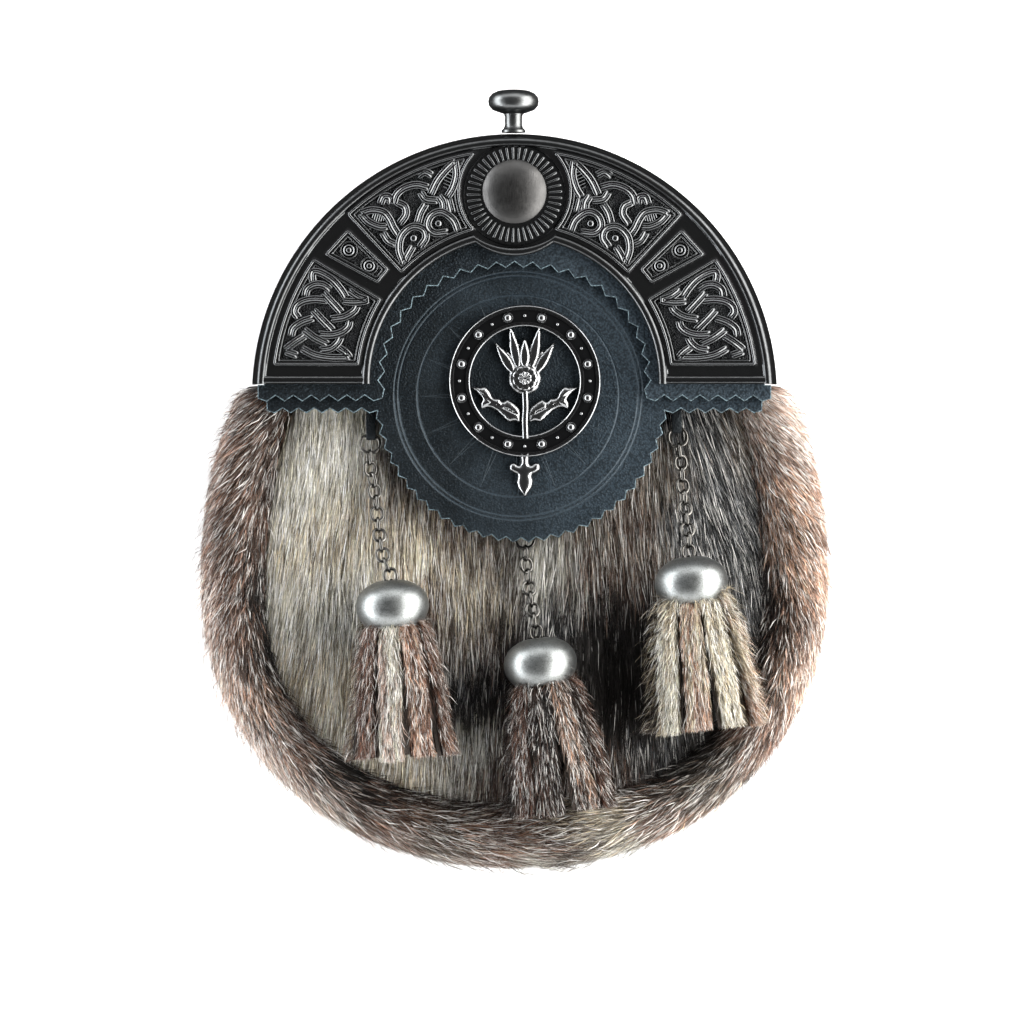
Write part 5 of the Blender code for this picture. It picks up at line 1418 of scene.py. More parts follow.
def strand_body(path):
    """One strand of the knotwork. It sinks under its neighbours at both ends."""
    line = spline(path, 12)
    starts = [line[0] + (line[0] - line[1]) / math.dist(line[0], line[1]) * RUN_ON]
    ends = [line[-1] + (line[-1] - line[-2]) / math.dist(line[-1], line[-2]) * RUN_ON]
    line = even_steps(np.concatenate([starts, line, ends]), STRAND["step"])
    lengths = line_lengths(line)
    to_end = np.minimum(lengths, lengths[-1] - lengths)
    sink = np.interp(to_end, *np.array(DIVE).T)
    return moulding(line, STRAND_SECTION, CANTLE_FACE_Z + PANEL_GROUND - sink, STRAND["half_width"])


def vein_bodies(start, end):
    """Short ribs across a leaf."""
    start, end = np.array(start), np.array(end)
    way = (end - start) / np.linalg.norm(end - start)
    across = np.array((-way[1], way[0]))
    bodies = []
    for i in range(VEIN["count"]):
        share = (i + 0.5) / VEIN["count"]
        middle = start + (end - start) * share
        reach = VEIN["reach"] * math.sin(math.pi * (0.15 + 0.75 * share))
        line = middle + across * np.linspace(-reach, reach, 5)[:, None] + way * VEIN["slant"]
        low_z = CANTLE_FACE_Z + PANEL_GROUND - VEIN["low"]
        bodies.append(moulding(line, LINE_SECTION, low_z, VEIN["half_width"]))
    return bodies


def cantle_work():
    """The raised work of the cantle's right half: frames, knotwork, roundels and the base's bead."""
    ground = CANTLE_FACE_Z + PANEL_GROUND
    bodies = []
    for index in range(len(PANEL_MIDDLES)):
        for row in FRAME_LINES:
            line = even_steps(panel_outline(index, row["inset"]), FRAME_STEP, closed=True)
            frame_line = moulding(line, LINE_SECTION, ground + row["rise"], row["half_width"], closed=True)
            bodies.append(frame_line)
    bodies += [strand_body(path) for path in LOWER_KNOT + UPPER_KNOT]
    for spots, profile, sides in ((ROUNDELS, ROUNDEL_ROUND, 40), (KNOT_BOSSES, BOSS_SHAPE, 24)):
        for spot in spots:
            bodies.append(turned(profile, sides, Matrix.Translation((*spot, ground))))
    for start, end in VEINS:
        bodies += vein_bodies(start, end)
    bead_y = BASE_BEAD["y"]
    inner, outer = CANTLE_INNER["radius"] + BASE_BEAD["inset"], FACE_RADIUS + BASE_BEAD["run_on"]
    inner_x = math.sqrt(inner**2 - (bead_y - CANTLE_INNER["y"]) ** 2)
    outer_x = math.sqrt(outer**2 - (bead_y - RING_Y) ** 2)
    bead = [(inner_x + (outer_x - inner_x) * i / 20, bead_y) for i in range(21)]
    bodies.append(moulding(bead, LINE_SECTION, CANTLE_FACE_Z + BASE_BEAD["rise"], BASE_BEAD["half_width"]))
    return bodies


def medallion_work():
    """The ribs round the boss and the thin ring round the ribs."""
    bodies = []
    for i in range(RIBS["count"]):
        angle = 2 * math.pi * (i + 0.5) / RIBS["count"]
        way = np.array((math.cos(angle), math.sin(angle)))
        line, bases, widths = [], [], []
        for share, rise in RIB_ENDS:
            reach = RIBS["inner"] + (RIBS["outer"] - RIBS["inner"]) * share
            line.append((RIBS["x"], RIBS["y"]) + way * reach)
            bases.append(CANTLE_FACE_Z + rise)
            widths.append(RIBS["wide"][0] + (RIBS["wide"][1] - RIBS["wide"][0]) * share)
        bodies.append(moulding(line, LINE_SECTION, bases, widths))
    place = Matrix.Translation((RIBS["x"], RIBS["y"], CANTLE_FACE_Z))
    bodies.append(turned(RING_LINE, 120, place, closed=True))
    return bodies


def build_cantle_work():
    """The raised work on the cast ring, in both halves."""
    bodies = []
    for body in cantle_work():
        bodies += [body, mirrored_body(*body)]
    points, faces = joined(bodies + medallion_work())
    work = add_piece("cantle_ornament", points, faces, [CANTLE_METAL], crease=60)
    height = points[:, 2] - CANTLE_FACE_Z
    set_values(work, "relief", 0.1 + 0.75 * smooth_step((height - 0.45) / 0.4))


def cantle_ground(x, y):
    """How high points of the right half lie above the face, and how polished and how stippled they are."""
    height = np.zeros_like(x)
    inside = np.zeros_like(x)
    for depth in panel_depths(x, y):
        height = np.maximum(height, PANEL_GROUND * smooth_step((depth + 0.2) / 0.4))
        inside = np.maximum(inside, smooth_step((depth - STIPPLE_INSET) / 0.3))
    height += 0.04 * noise(x / 2.5 + 40, y / 2.5, 51)
    return height, 0.8 - 0.7 * inside, inside


def inner_radius(angle):
    """The cantle's inner edge along a ray from its centre: a round hole with a scallop at the top."""
    rise = math.sin(angle)
    offset = CANTLE_INNER["y"] - RING_Y
    radius = offset * rise + math.sqrt((offset * rise) ** 2 - offset**2 + CANTLE_INNER["radius"] ** 2)
    offset = MEDALLION_Y - RING_Y
    inside = (offset * rise) ** 2 - offset**2 + SCALLOP_RADIUS**2
    if inside > 0:
        radius = min(radius, offset * rise - math.sqrt(inside))
    return radius


def cantle_lines():
    """Where each section of the right half starts on the inner edge and which way it heads."""
    radius, middle_y = CANTLE_INNER["radius"], CANTLE_INNER["y"]
    lines = []
    for y in BASE_Y + np.linspace(0.0, BASE_BAND, 6)[:-1]:
        lines.append(((math.sqrt(radius**2 - (y - middle_y) ** 2), y), (1.0, 0.0)))
    foot = BASE_Y + BASE_BAND
    first_outer = angle_at(foot - RING_Y, FACE_RADIUS)
    edge_x = math.sqrt(radius**2 - (foot - middle_y) ** 2)
    first_inner = math.degrees(math.atan2(foot - RING_Y, edge_x))
    for outer in np.linspace(first_outer, 90.0, CANTLE_STATIONS):
        share = min((outer - first_outer) / (FIRST_RAY - first_outer), 1.0)
        inner = outer if share >= 1.0 else first_inner + (FIRST_RAY - first_inner) * share
        inner, outer = math.radians(inner), math.radians(outer)
        reach = inner_radius(inner)
        start = (reach * math.cos(inner), RING_Y + reach * math.sin(inner))
        end = (FACE_RADIUS * math.cos(outer), RING_Y + FACE_RADIUS * math.sin(outer))
        length = math.dist(start, end)
        lines.append((start, ((end[0] - start[0]) / length, (end[1] - start[1]) / length)))
    return lines


def build_cantle():
    """The cast half ring: its lip, its face with the panels' ground, and its rim with the skirt."""
    shares = np.linspace(0, 1, FACE_STEPS)
    lip_insets, lip_heights = np.array(LIP_ROUND).T
    rim_radii, rim_heights = np.array(RIM_ROUND).T
    plan = []
    for start, heading in cantle_lines():
        offset = np.array(start) - (0.0, RING_Y)
        along = offset @ np.array(heading)

        def reach(radius):
            return np.sqrt(along**2 - offset @ offset + radius**2) - along

        face = lip_insets[-1] + (reach(FACE_RADIUS) - lip_insets[-1]) * shares[1:]
        insets = np.concatenate([lip_insets, face, reach(rim_radii)])
        plan.append(np.array(start) + insets[:, None] * np.array(heading))
    plan = np.array(plan)
    x, y = plan[..., 0], plan[..., 1]
    relief, shine, stipple = cantle_ground(x, y)
    lip, rim = len(LIP_ROUND), len(RIM_ROUND)
    z = CANTLE_FACE_Z + relief
    z[:, :lip] = CANTLE_LOW_Z + lip_heights
    z[:, -rim:] = CANTLE_LOW_Z + rim_heights
    shine[:, :lip] = RIM_SHINE["shine"][-1]
    shine[:, -rim:] = np.interp(rim_heights, RIM_SHINE["height"], RIM_SHINE["shine"])
    stipple[:, :lip] = 0.0
    stipple[:, -rim:] = 0.0
    right = np.stack([x, y, z], axis=2)
    points = np.concatenate([right, right[-2::-1] * (-1, 1, 1)])
    shine = np.concatenate([shine, shine[-2::-1]])
    stipple = np.concatenate([stipple, stipple[-2::-1]])
    rows, columns = points.shape[:2]
    faces = grid_faces(rows, columns, round_columns=True).tolist() + end_caps(rows, columns, turn=True)
    cantle = add_piece("cantle_cast", points, faces, [CANTLE_METAL], crease=60)
    set_values(cantle, "relief", shine.ravel())
    set_values(cantle, "stipple", stipple.ravel())
    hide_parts("cantle")


# Boss, knob and bells, each turned: radius and height along its own axis
BOSS_LOW_Z = 42.3
BOSS_ROUND = (
    (0.2, 3.6), (2.2, 3.48), (4.2, 3.1), (6.2, 2.48), (7.8, 1.72), (9.0, 0.95), (9.55, 0.4), (9.4, 0.0),
)
KNOB_ROUND = (
    (0.2, 0.0), (2.6, -0.06), (4.6, -0.35), (6.3, -1.1), (7.3, -2.2), (7.6, -3.5), (7.35, -4.9),
    (6.3, -6.1), (4.4, -6.8), (2.9, -7.3), (2.6, -8.2), (2.6, -10.8), (3.0, -11.7), (3.6, -12.2),
    (3.6, -12.9),
)
BELL_ROUND = (
    (2.9, 6.9), (4.2, 6.7), (5.8, 6.15), (7.6, 5.2), (9.2, 3.9), (10.3, 2.3), (10.85, 0.7), (11.0, -0.8),
    (10.8, -2.4), (10.15, -4.1), (9.2, -5.6), (8.5, -6.45), (8.25, -6.8), (8.3, -7.05), (8.0, -7.2),
    (7.6, -7.0), (7.9, -5.6), (9.4, -3.2), (9.9, -0.8), (8.8, 3.0), (6.2, 5.1), (2.9, 5.9),
)


def build_boss():
    place = Matrix.Translation((0.0, MEDALLION_Y, BOSS_LOW_Z))
    points, faces = turned(BOSS_ROUND, 72, place)
    boss = add_piece("boss_dome", points, faces, [BOSS_METAL], crease=50)
    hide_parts("boss")


def build_knob():
    place = Matrix.Translation((KNOB["x"], KNOB["top_y"], KNOB["z"]))
    place = place @ Matrix.Rotation(math.radians(-90), 4, "X")
    points, faces = turned(KNOB_ROUND, 64, place)
    knob = add_piece("knob_turned", points, faces, [KNOB_METAL], crease=50)
    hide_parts("knob")


# ---------------------------------------------------------------- the badge

BADGE_RING = (
    (16.4, 0.0), (16.4, 1.5), (16.5, 1.82), (16.68, 1.95), (16.86, 1.82), (16.96, 1.5), (17.02, 1.05),
    (17.3, 1.05), (17.36, 1.45), (17.5, 1.7), (17.64, 1.7), (17.76, 1.45), (17.84, 1.05), (19.6, 1.12),
    (21.36, 1.05), (21.44, 1.45), (21.56, 1.7), (21.7, 1.7), (21.84, 1.45), (21.9, 1.05), (22.18, 1.05),
    (22.24, 1.5), (22.34, 1.82), (22.52, 1.95), (22.7, 1.82), (22.8, 1.5), (22.8, 0.0),
)
# The sunk band of the ring, which is dark
BADGE_DARK = {"inner": 17.75, "outer": 21.45, "low": 0.5, "high": 1.4}
STUD_ROUND = (
    (1.55, 0.9), (1.55, 1.5), (1.4, 1.65), (1.2, 1.6), (1.1, 1.9), (0.75, 2.3), (0.1, 2.48),
)
BEAD_ROUND = ((0.55, 1.0), (0.5, 1.55), (0.3, 1.8), (0.05, 1.88))
STUD_CIRCLE = 19.6
STUD_COUNT = 12
DROP_HALF = (
    (0.0, -21.8), (1.3, -21.8), (1.2, -24.4), (1.9, -25.2), (3.2, -24.4), (4.5, -25.0), (4.6, -26.6),
    (3.4, -27.6), (2.2, -28.3), (2.5, -30.2), (2.0, -32.2), (0.9, -33.9), (0.0, -34.8),
)
BADGE_BACK = 0.1
PILLOW_STEP = 0.3
# Domed faces: how far they rise over their base, over what width, and the base's height
LEAF_DOME = {"height": 1.5, "width": 2.4, "base": 0.7}
DROP_DOME = {"height": 1.4, "width": 2.2, "base": 0.7}
FLORET_BASES = (1.2, 0.9)
OUTLINE_STEP = 0.25
# Raised parts of the thistle's right half: florets, each a lens from end to end, and a leaf with its veins
FLORETS = (
    {"start": (0.0, 4.0), "end": (0.0, 13.2), "half_width": 1.45, "height": 1.5},
    {"start": (1.3, 4.0), "end": (2.2, 10.8), "half_width": 1.0, "height": 1.0},
    {"start": (1.9, 3.8), "end": (4.5, 16.8), "half_width": 1.4, "height": 1.4},
    {"start": (3.0, 3.2), "end": (5.6, 9.4), "half_width": 1.0, "height": 1.0},
    {"start": (3.2, 2.4), "end": (9.0, 11.6), "half_width": 1.35, "height": 1.3},
)
LEAF = (
    (1.3, -8.8), (3.2, -6.6), (5.2, -5.5), (6.6, -6.2), (7.6, -5.2), (9.4, -5.0), (10.2, -3.4),
    (11.8, -1.7), (13.6, -1.9), (16.6, -1.7), (14.6, -3.2), (12.9, -5.2), (13.4, -6.8), (12.9, -8.4),
    (10.8, -7.9), (8.6, -9.0), (6.8, -10.6), (4.9, -12.3), (3.0, -12.1), (1.4, -12.2),
)
LEAF_VEINS = (
    ((1.4, -10.4), (5.0, -8.6), (9.0, -7.0), (12.2, -4.4), (15.6, -2.2)),
    ((6.4, -8.0), (6.8, -6.9), (7.0, -5.9)),
    ((9.6, -6.6), (11.0, -7.2), (12.4, -7.9)),
)
THISTLE_STEM = ((0.0, -3.0), (0.2, -8.0), (0.0, -12.0), (0.2, -17.2))
STEM_SECTION = (
    (-1.1, 0.0), (-1.1, 1.1), (-0.85, 1.75), (-0.4, 2.1), (0.4, 2.1), (0.85, 1.75), (1.1, 1.1), (1.1, 0.0),
)
BULB = {"y": 0.8, "radius": 4.9, "height": 1.8, "scales": 9, "rows": 4}


def distance_to(spots, line):
    """How far points of the plan lie from the points of a line."""
    return np.sqrt(((spots[:, None] - np.asarray(line)[None]) ** 2).sum(axis=2)).min(axis=1)


def pillow(outline, height, width, base, vein=None):
    """A solid over an outline of the plan, with a domed face that rises from the base's height over a width.

    A vein is the points of the lines along which the face is grooved.
    """
    outline = np.asarray(outline, float)
    low, high = outline.min(axis=0), outline.max(axis=0)
    x, y = np.meshgrid(np.arange(low[0], high[0], PILLOW_STEP), np.arange(low[1], high[1], PILLOW_STEP))
    spots = np.stack([x.ravel(), y.ravel()], axis=1)
    spots = spots[distance_to(spots, outline) > 0.6 * PILLOW_STEP]
    count = len(outline)
    rim = [(i, (i + 1) % count) for i in range(count)]
    given = [Vector(spot) for spot in np.concatenate([outline, spots])]
    made = mathutils.geometry.delaunay_2d_cdt(given, rim, [tuple(range(count))], 1, 1e-6)
    plan, faces = np.array([tuple(spot) for spot in made[0]]), [tuple(face) for face in made[2]]
    rise = np.clip(distance_to(plan, outline) / width, 0.0, 1.0)
    top = height * np.sqrt(1 - (1 - rise) ** 2)
    if vein is not None:
        top -= 0.4 * height * smooth_step(1 - distance_to(plan, vein) / 0.6) * rise
    face_points = np.concatenate([plan, (base + top)[:, None]], axis=1)
    foot_points = np.concatenate([plan[:count], np.full((count, 1), BADGE_BACK)], axis=1)
    start = len(plan)
    walls = [(i, j, start + j, start + i) for i, j in rim]
    return np.concatenate([face_points, foot_points]), faces + walls + [tuple(range(start, start + count))]


def bulb_body():
    """The thistle's bulb, a dome in overlapping scales."""
    steps, sides = 28, 72
    share = np.linspace(0.0, 1.0, steps)[:, None]
    angle = 2 * np.pi * np.arange(sides) / sides
    ring = share * BULB["rows"]
    turn = angle[None] / (2 * np.pi) * BULB["scales"] + 0.5 * (np.floor(ring) % 2)
    scale = (ring % 1.0) * (1 - (2 * np.abs(turn % 1.0 - 0.5)) ** 2)
    radius = np.broadcast_to(BULB["radius"] * np.sin(share * np.pi / 2), scale.shape)
    height = 1.0 + BULB["height"] * np.cos(share * np.pi / 2) + 0.4 * scale * np.cos(share * 1.3)
    points = np.stack([radius * np.cos(angle), BULB["y"] + radius * np.sin(angle), height], axis=2)
    foot = points[-1:].copy()
    foot[..., 2] = BADGE_BACK
    points = np.concatenate([points, foot]).reshape(-1, 3)
    return points, grid_faces(steps + 1, sides, round_columns=True)[sides:].tolist()


def lens(row):
    """The outline of a floret, pointed at its far end."""
    start, end = np.array(row["start"]), np.array(row["end"])
    way = (end - start) / np.linalg.norm(end - start)
    across = np.array((-way[1], way[0]))
    shares = np.linspace(0, 1, 25)[:, None]
    width = row["half_width"] * (np.sin(np.pi * shares**0.75) ** 0.8 + 0.35 * (1 - shares))
    one = start + (end - start) * shares + across * width
    other = start + (end - start) * shares - across * width
    return np.concatenate([one, other[-2::-1]])


def mirrored(half):
    """A closed outline from its right half, which starts and ends on the middle line."""
    return list(half) + [(-x, y) for x, y in reversed(half) if x > 0]


def floret_body(row, base):
    return pillow(lens(row), row["height"], row["half_width"] * 0.9, base)


def badge_figures():
    """The thistle and the drop, each part a solid with a domed face. The first floret is in the middle."""
    middle_base, side_base = FLORET_BASES
    halves = [floret_body(row, side_base) for row in FLORETS[1:]]
    veins = np.concatenate([spline(vein, 10) for vein in LEAF_VEINS])
    leaf = even_steps(spline(LEAF, 6, closed=True), OUTLINE_STEP, closed=True)
    halves.append(pillow(leaf, vein=veins, **LEAF_DOME))
    bodies = [mirrored_body(*body) for body in halves]
    bodies.append(floret_body(FLORETS[0], middle_base))
    drop = even_steps(spline(mirrored(DROP_HALF), 4, closed=True), OUTLINE_STEP, closed=True)
    bodies.append(pillow(drop, **DROP_DOME))
    bodies.append(moulding(spline(THISTLE_STEM, 8), STEM_SECTION, BADGE_BACK))
    return halves + bodies


def build_badge():
    """The openwork ring with its studs and beads, and the thistle in its middle."""
    bodies = [turned(BADGE_RING, 160, closed=True)]
    for i in range(2 * STUD_COUNT):
        angle = math.pi * (i + 0.5) / STUD_COUNT - math.pi / (2 * STUD_COUNT)
        spot = Matrix.Translation((STUD_CIRCLE * math.cos(angle), STUD_CIRCLE * math.sin(angle), 0.0))
        bodies.append(turned(STUD_ROUND, 24, spot) if i % 2 else turned(BEAD_ROUND, 14, spot))
    bodies += badge_figures()
    bodies.append(bulb_body())
    points, faces = joined(bodies)
    radius = np.hypot(points[:, 0], points[:, 1])
    in_band = (radius > BADGE_DARK["inner"]) & (radius < BADGE_DARK["outer"])
    in_band &= (points[:, 2] > BADGE_DARK["low"]) & (points[:, 2] < BADGE_DARK["high"])
    place = Vector((BADGE["x"], BADGE["y"], BADGE["low_z"]))
    badge = add_piece("badge_cast", points + np.array(place), faces, [BADGE_METAL], crease=50)
    set_values(badge, "relief", np.where(in_band, 0.0, 1.0))
    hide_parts("badge")


# ---------------------------------------------------------------- chains, bells and tassels

LINK_STEPS = 28
WIRE_SIDES = 10
LINK_RADIUS = 0.5
LINK_TILT = 0.55
# A tassel's strip: its thickness, its half width as a share of its place round the head, above and below, its
# steps, and where it starts and ends below the bell's top
STRIP = {"thick": 1.5, "half_share": (0.48, 0.4), "along_steps": 26, "across_steps": 7}
STRIP |= {"start": 6.0, "end": 53.6, "fall_from": 15.0, "ends": (-1.4, 0.2)}
# The lean of a strip's hairs in degrees, and the part of its width that has hairs
STRIP_LEAN = {"wave": 5, "scatter": 4, "to_edges": 2, "to_sides": 8}
STRIP_HAIRY = (0.06, 0.94)
# Along the tassel: distance below the bell's top, half width and half thickness
TASSEL_PROFILE = ((4.9, 6.2, 6.2), (14.3, 6.9, 6.9), (16.0, 9.6, 8.7), (32.0, 12.6, 9.6), (53.6, 15.4, 9.9))
TASSEL_HEAD_ROWS = 3
TASSEL_FRONT_STRIPS = 4
TASSEL_LENGTH = 47.0
STAPLE = {"radius": 0.45, "half_gap": 1.2, "foot": 5.9, "sides": 10}
TASSEL_HEAD_ROUND = ((0.3, -5.4), (5.2, -5.6), (5.6, -6.4), (5.6, -14.0), (4.6, -15.4), (0.3, -15.6))


def lean_directions(row):
    """The tassel's way down and its way across, in the plane of the front."""
    lean = math.radians(row["lean"])
    down = Vector((math.sin(lean), -math.cos(lean), 0.0))
    across = Vector((math.cos(lean), math.sin(lean), 0.0))
    return down, across


def bell_top(row):
    down = lean_directions(row)[0]
    return Vector((*row["bell"], BELL_AXIS_Z)) - down * BELL_HALF_LENGTH


def chain_route(row):
    """From the tab's hole, along the fur and up into the bell, as a dense line."""
    down = lean_directions(row)[0]
    top = bell_top(row)
    start = Vector((row["tab"][0], row["tab"][1] + TAB["hole_from_end"], TAB["low_z"] + TAB["thick"] / 2))
    mouth = top - down * CHAIN_STRAIGHT
    points = [start]
    for x, y in row["way"]:
        left = math.dist((x, y), (mouth.x, mouth.y))
        rise = float(smooth_step(1.0 - left / CHAIN_RISE_LENGTH))
        points.append(Vector((x, y, CHAIN_LOW_Z + (BELL_AXIS_Z - CHAIN_LOW_Z) * rise)))
    return spline([*points, mouth, top + down * CHAIN_END_DEPTH], 12)


def chain_plan(row):
    """The chain's route, the inside length of its links and where the middle of each link lies."""
    route = chain_route(row)
    total = line_lengths(route)[-1]
    first = TOP_LINK["inside_long"]
    rest = total - first - WIRE_RADIUS
    count = round(rest / (LINK["inside_long"] + LINK_BITE))
    inside = (rest - WIRE_RADIUS) / count - LINK_BITE
    middles = [WIRE_RADIUS + first / 2]
    for i in range(count):
        reach = (first if i == 0 else inside) / 2
        middles.append(middles[-1] + reach + inside / 2 + LINK_BITE)
    return route, inside, middles


def place_on_route(route, distance):
    """The point and heading at a distance along a dense line."""
    spot, ahead, behind = along_line(route, distance + np.array((0.0, 0.5, -0.5)))
    heading = ahead - behind
    return spot, heading / np.linalg.norm(heading)


def link_body(centre, heading, roll, shape, inside_long):
    """One link of bent wire: two straight sides between two round ends."""
    side = np.cross(heading, (0.0, 0.0, 1.0))
    side /= np.linalg.norm(side)
    normal = np.cross(side, heading)
    side = side * math.cos(roll) + normal * math.sin(roll)
    normal = np.cross(side, heading)
    angle = 2 * np.pi * np.arange(LINK_STEPS) / LINK_STEPS
    along = np.sign(np.cos(angle)) * np.abs(np.cos(angle)) ** 0.85 * (inside_long / 2 + WIRE_RADIUS)
    across = np.sign(np.sin(angle)) * np.abs(np.sin(angle)) ** 0.85 * (shape["inside_wide"] / 2 + WIRE_RADIUS)
    path = centre + along[:, None] * heading + across[:, None] * side
    outward = along[:, None] * heading + across[:, None] * side
    outward /= np.linalg.norm(outward, axis=1, keepdims=True)
    turn = 2 * np.pi * np.arange(WIRE_SIDES) / WIRE_SIDES
    ring = outward[:, None] * np.cos(turn)[None, :, None] + normal[None, None] * np.sin(turn)[None, :, None]
    points = (path[:, None] + ring * LINK_RADIUS).reshape(-1, 3)
    return points, grid_faces(LINK_STEPS, WIRE_SIDES, round_rows=True, round_columns=True).tolist()


def build_chain(row, seed):
    """A chain of round links. Every second link is turned on edge, and the upper ones are tilted."""
    rng = np.random.default_rng(seed)
    route, inside, middles = chain_plan(row)
    bodies = []
    for i, distance in enumerate(middles):
        centre, heading = place_on_route(route, distance)
        tilt = LINK_TILT * min(1.0, i / 2) * (1 - i / (len(middles) - 1))
        roll = (0.0 if i % 2 == 0 else math.pi / 2) + tilt + rng.uniform(-0.15, 0.15)
        shape = LINK if i else TOP_LINK
        long = inside if i else TOP_LINK["inside_long"]
        bodies.append(link_body(centre, heading, roll, shape, long))
    points, faces = joined(bodies)
    chain = add_piece("links_" + row["name"], points, faces, [CHAIN_METAL])
    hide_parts("chain_" + row["name"])


def place_on_tassel(row, middle):
    """The place of a turned body on a tassel's axis, with its own Z up the tassel."""
    down, across = lean_directions(row)
    turn = Matrix((across, across.cross(-down), -down)).transposed().to_4x4()
    return Matrix.Translation(middle) @ turn


def build_bell(row):
    points, faces = turned(BELL_ROUND, 72, place_on_tassel(row, (*row["bell"], BELL_AXIS_Z)), closed=True)
    bell = add_piece("cup_" + row["name"], points, faces, [BELL_METAL], crease=50)
    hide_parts("bell_" + row["name"])


def tassel_strips(row, rng):
    """The outer side of each strip as a grid of points, from its head down and from its right edge round."""
    down, across = (np.array(way) for way in lean_directions(row))
    top = np.array(bell_top(row))
    marks = []
    for i, (along, wide, thick) in enumerate(TASSEL_PROFILE):
        marks.append((along if i < TASSEL_HEAD_ROWS else along * row["stretch"], wide, thick))
    marks = spline(marks, 6).T
    head, foot = STRIP["half_share"]
    across_share = np.linspace(1, -1, STRIP["across_steps"])
    strips = []
    for strip in range(TASSEL_STRIPS):
        end = STRIP["end"] * row["stretch"] + rng.uniform(*STRIP["ends"])
        along = np.linspace(STRIP["start"], end, STRIP["along_steps"])
        fall = smooth_step((along - STRIP["fall_from"]) / (end - STRIP["fall_from"]))
        sway = rng.uniform(-0.1, 0.1) * fall + 0.03 * np.sin(along / 7.0 + rng.uniform(0, 6)) * fall
        half = head + (foot - head) * fall
        half = half + rng.uniform(-0.02, 0.02) * fall
        angle = 2 * np.pi * (strip + 0.5 + sway[:, None] + half[:, None] * across_share[None]) / TASSEL_STRIPS
        wide = np.interp(along, marks[0], marks[1])[:, None] - 0.5
        thick = np.interp(along, marks[0], marks[2])[:, None] - 0.5
        bulge = 0.25 * np.sin(along / 5.0 + rng.uniform(0, 6))[:, None] * fall[:, None]
        points = top + along[:, None, None] * down
        points = points + ((wide + bulge) * np.cos(angle))[..., None] * across
        points = points + ((thick + bulge) * np.sin(angle))[..., None] * np.array((0.0, 0.0, 1.0))
        strips.append(points)
    return strips


def strip_body(outer, normals):
    """A strip as a closed solid, with its hair side first."""
    rows, columns = outer.shape[:2]
    inner = outer - normals * STRIP["thick"]
    points = np.concatenate([outer.reshape(-1, 3), inner.reshape(-1, 3)])
    top = grid_faces(rows, columns)
    low = top[:, ::-1] + rows * columns
    edge = [i * columns for i in range(rows)]
    edge += [(rows - 1) * columns + j for j in range(1, columns)]
    edge += [i * columns + columns - 1 for i in range(rows - 2, -1, -1)]
    edge += [j for j in range(columns - 2, 0, -1)]
    walls = []
    for here, there in zip(edge, edge[1:] + edge[:1]):
        walls.append((here, there, there + rows * columns, here + rows * columns))
    return points, top.tolist() + low.tolist() + walls, len(top)


def strip_hairs(row, strip, sheet, names, seed, rng):
    """The middle lines, normals and colours of one strip's hairs."""
    fur = TASSEL_FUR
    count = fur["front_hairs" if strip < TASSEL_FRONT_STRIPS else "back_hairs"]
    turn = math.cos(2 * math.pi * (strip + 0.5) / TASSEL_STRIPS)
    down = rng.uniform(0.0, STRIP["along_steps"] - 1.0, count)
    side = rng.uniform(*STRIP_HAIRY, count) * (STRIP["across_steps"] - 1.0)
    middle = side / (STRIP["across_steps"] - 1.0) * 2 - 1
    down_mm = down / (STRIP["along_steps"] - 1) * TASSEL_LENGTH
    lean = noise(down_mm / 14 + seed, middle, seed) * STRIP_LEAN["wave"]
    lean += rng.normal(0, STRIP_LEAN["scatter"], count)
    lean += STRIP_LEAN["to_edges"] * middle - STRIP_LEAN["to_sides"] * turn

    # Hairs end at the strip's end, and those at the tassel's sides stand off
    size = fur["length"] * rng.uniform(*fur["lengths"], count)
    size = np.minimum(size, np.maximum(TASSEL_LENGTH + rng.uniform(-0.4, 1.2, count) - down_mm, 0.8))
    rise = fur["rise"] * rng.uniform(*fur["rises"], count) * (1 + row["bristle"] * abs(turn) ** 2)
    rise *= stray_rise(fur, count, rng)
    move = noise(down_mm / 5, middle * 3 + seed, seed + 1) * 0.4
    bend = rng.normal(0, fur["bend"], count)
    lines, normals = grow(sheet, down, side, np.radians(lean), bend, size, rise, move)

    # Painted shade along the strip's two edges, between the strips
    streak = 0.5 * noise(middle * 4 + seed, down_mm / 14, seed + 2) - 1.1 * middle**6 + 0.1 + row["shade"]
    colours, whites = coat_rows(names)
    share = 0.5 + 1.0 * noise(middle * 2.5 + 7 * strip, down_mm / 22, seed + 3)
    coat = (share > rng.uniform(0, 1, count)).astype(int)
    return lines, normals, hair_colours(colours[coat], whites[coat], streak, rng)


def build_tassel(row, seed):
    """A tassel's strips of hide with their hairs."""
    rng = np.random.default_rng(seed)
    name = row["name"]
    bodies, slots, hide_colours, hairs = [], [], [], []
    for strip, (outer, names) in enumerate(zip(tassel_strips(row, rng), TASSEL_COATS[name])):
        sheet = make_sheet(outer)
        points, faces, hair_side = strip_body(outer, sheet["normals"])
        bodies.append((points, faces))
        slots += [0] * hair_side + [1] * (len(faces) - hair_side)
        hide_colours.append(np.tile(light(COATS[names[0]]["root"]), (len(points), 1)))
        hairs.append(strip_hairs(row, strip, sheet, names, seed, rng))
    points, faces = joined(bodies)
    skin = add_piece("strips_" + name, points, faces, [HIDE, FLESH_SIDE], slots, crease=50)
    set_values(skin, "coat", np.concatenate(hide_colours))
    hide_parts("tassel_" + name)
    lines, normals, colours = (np.concatenate(part) for part in zip(*hairs))
    fur = add_fur("tassel_hair_" + name, lines, normals, colours, TASSEL_FUR["width"], seed)


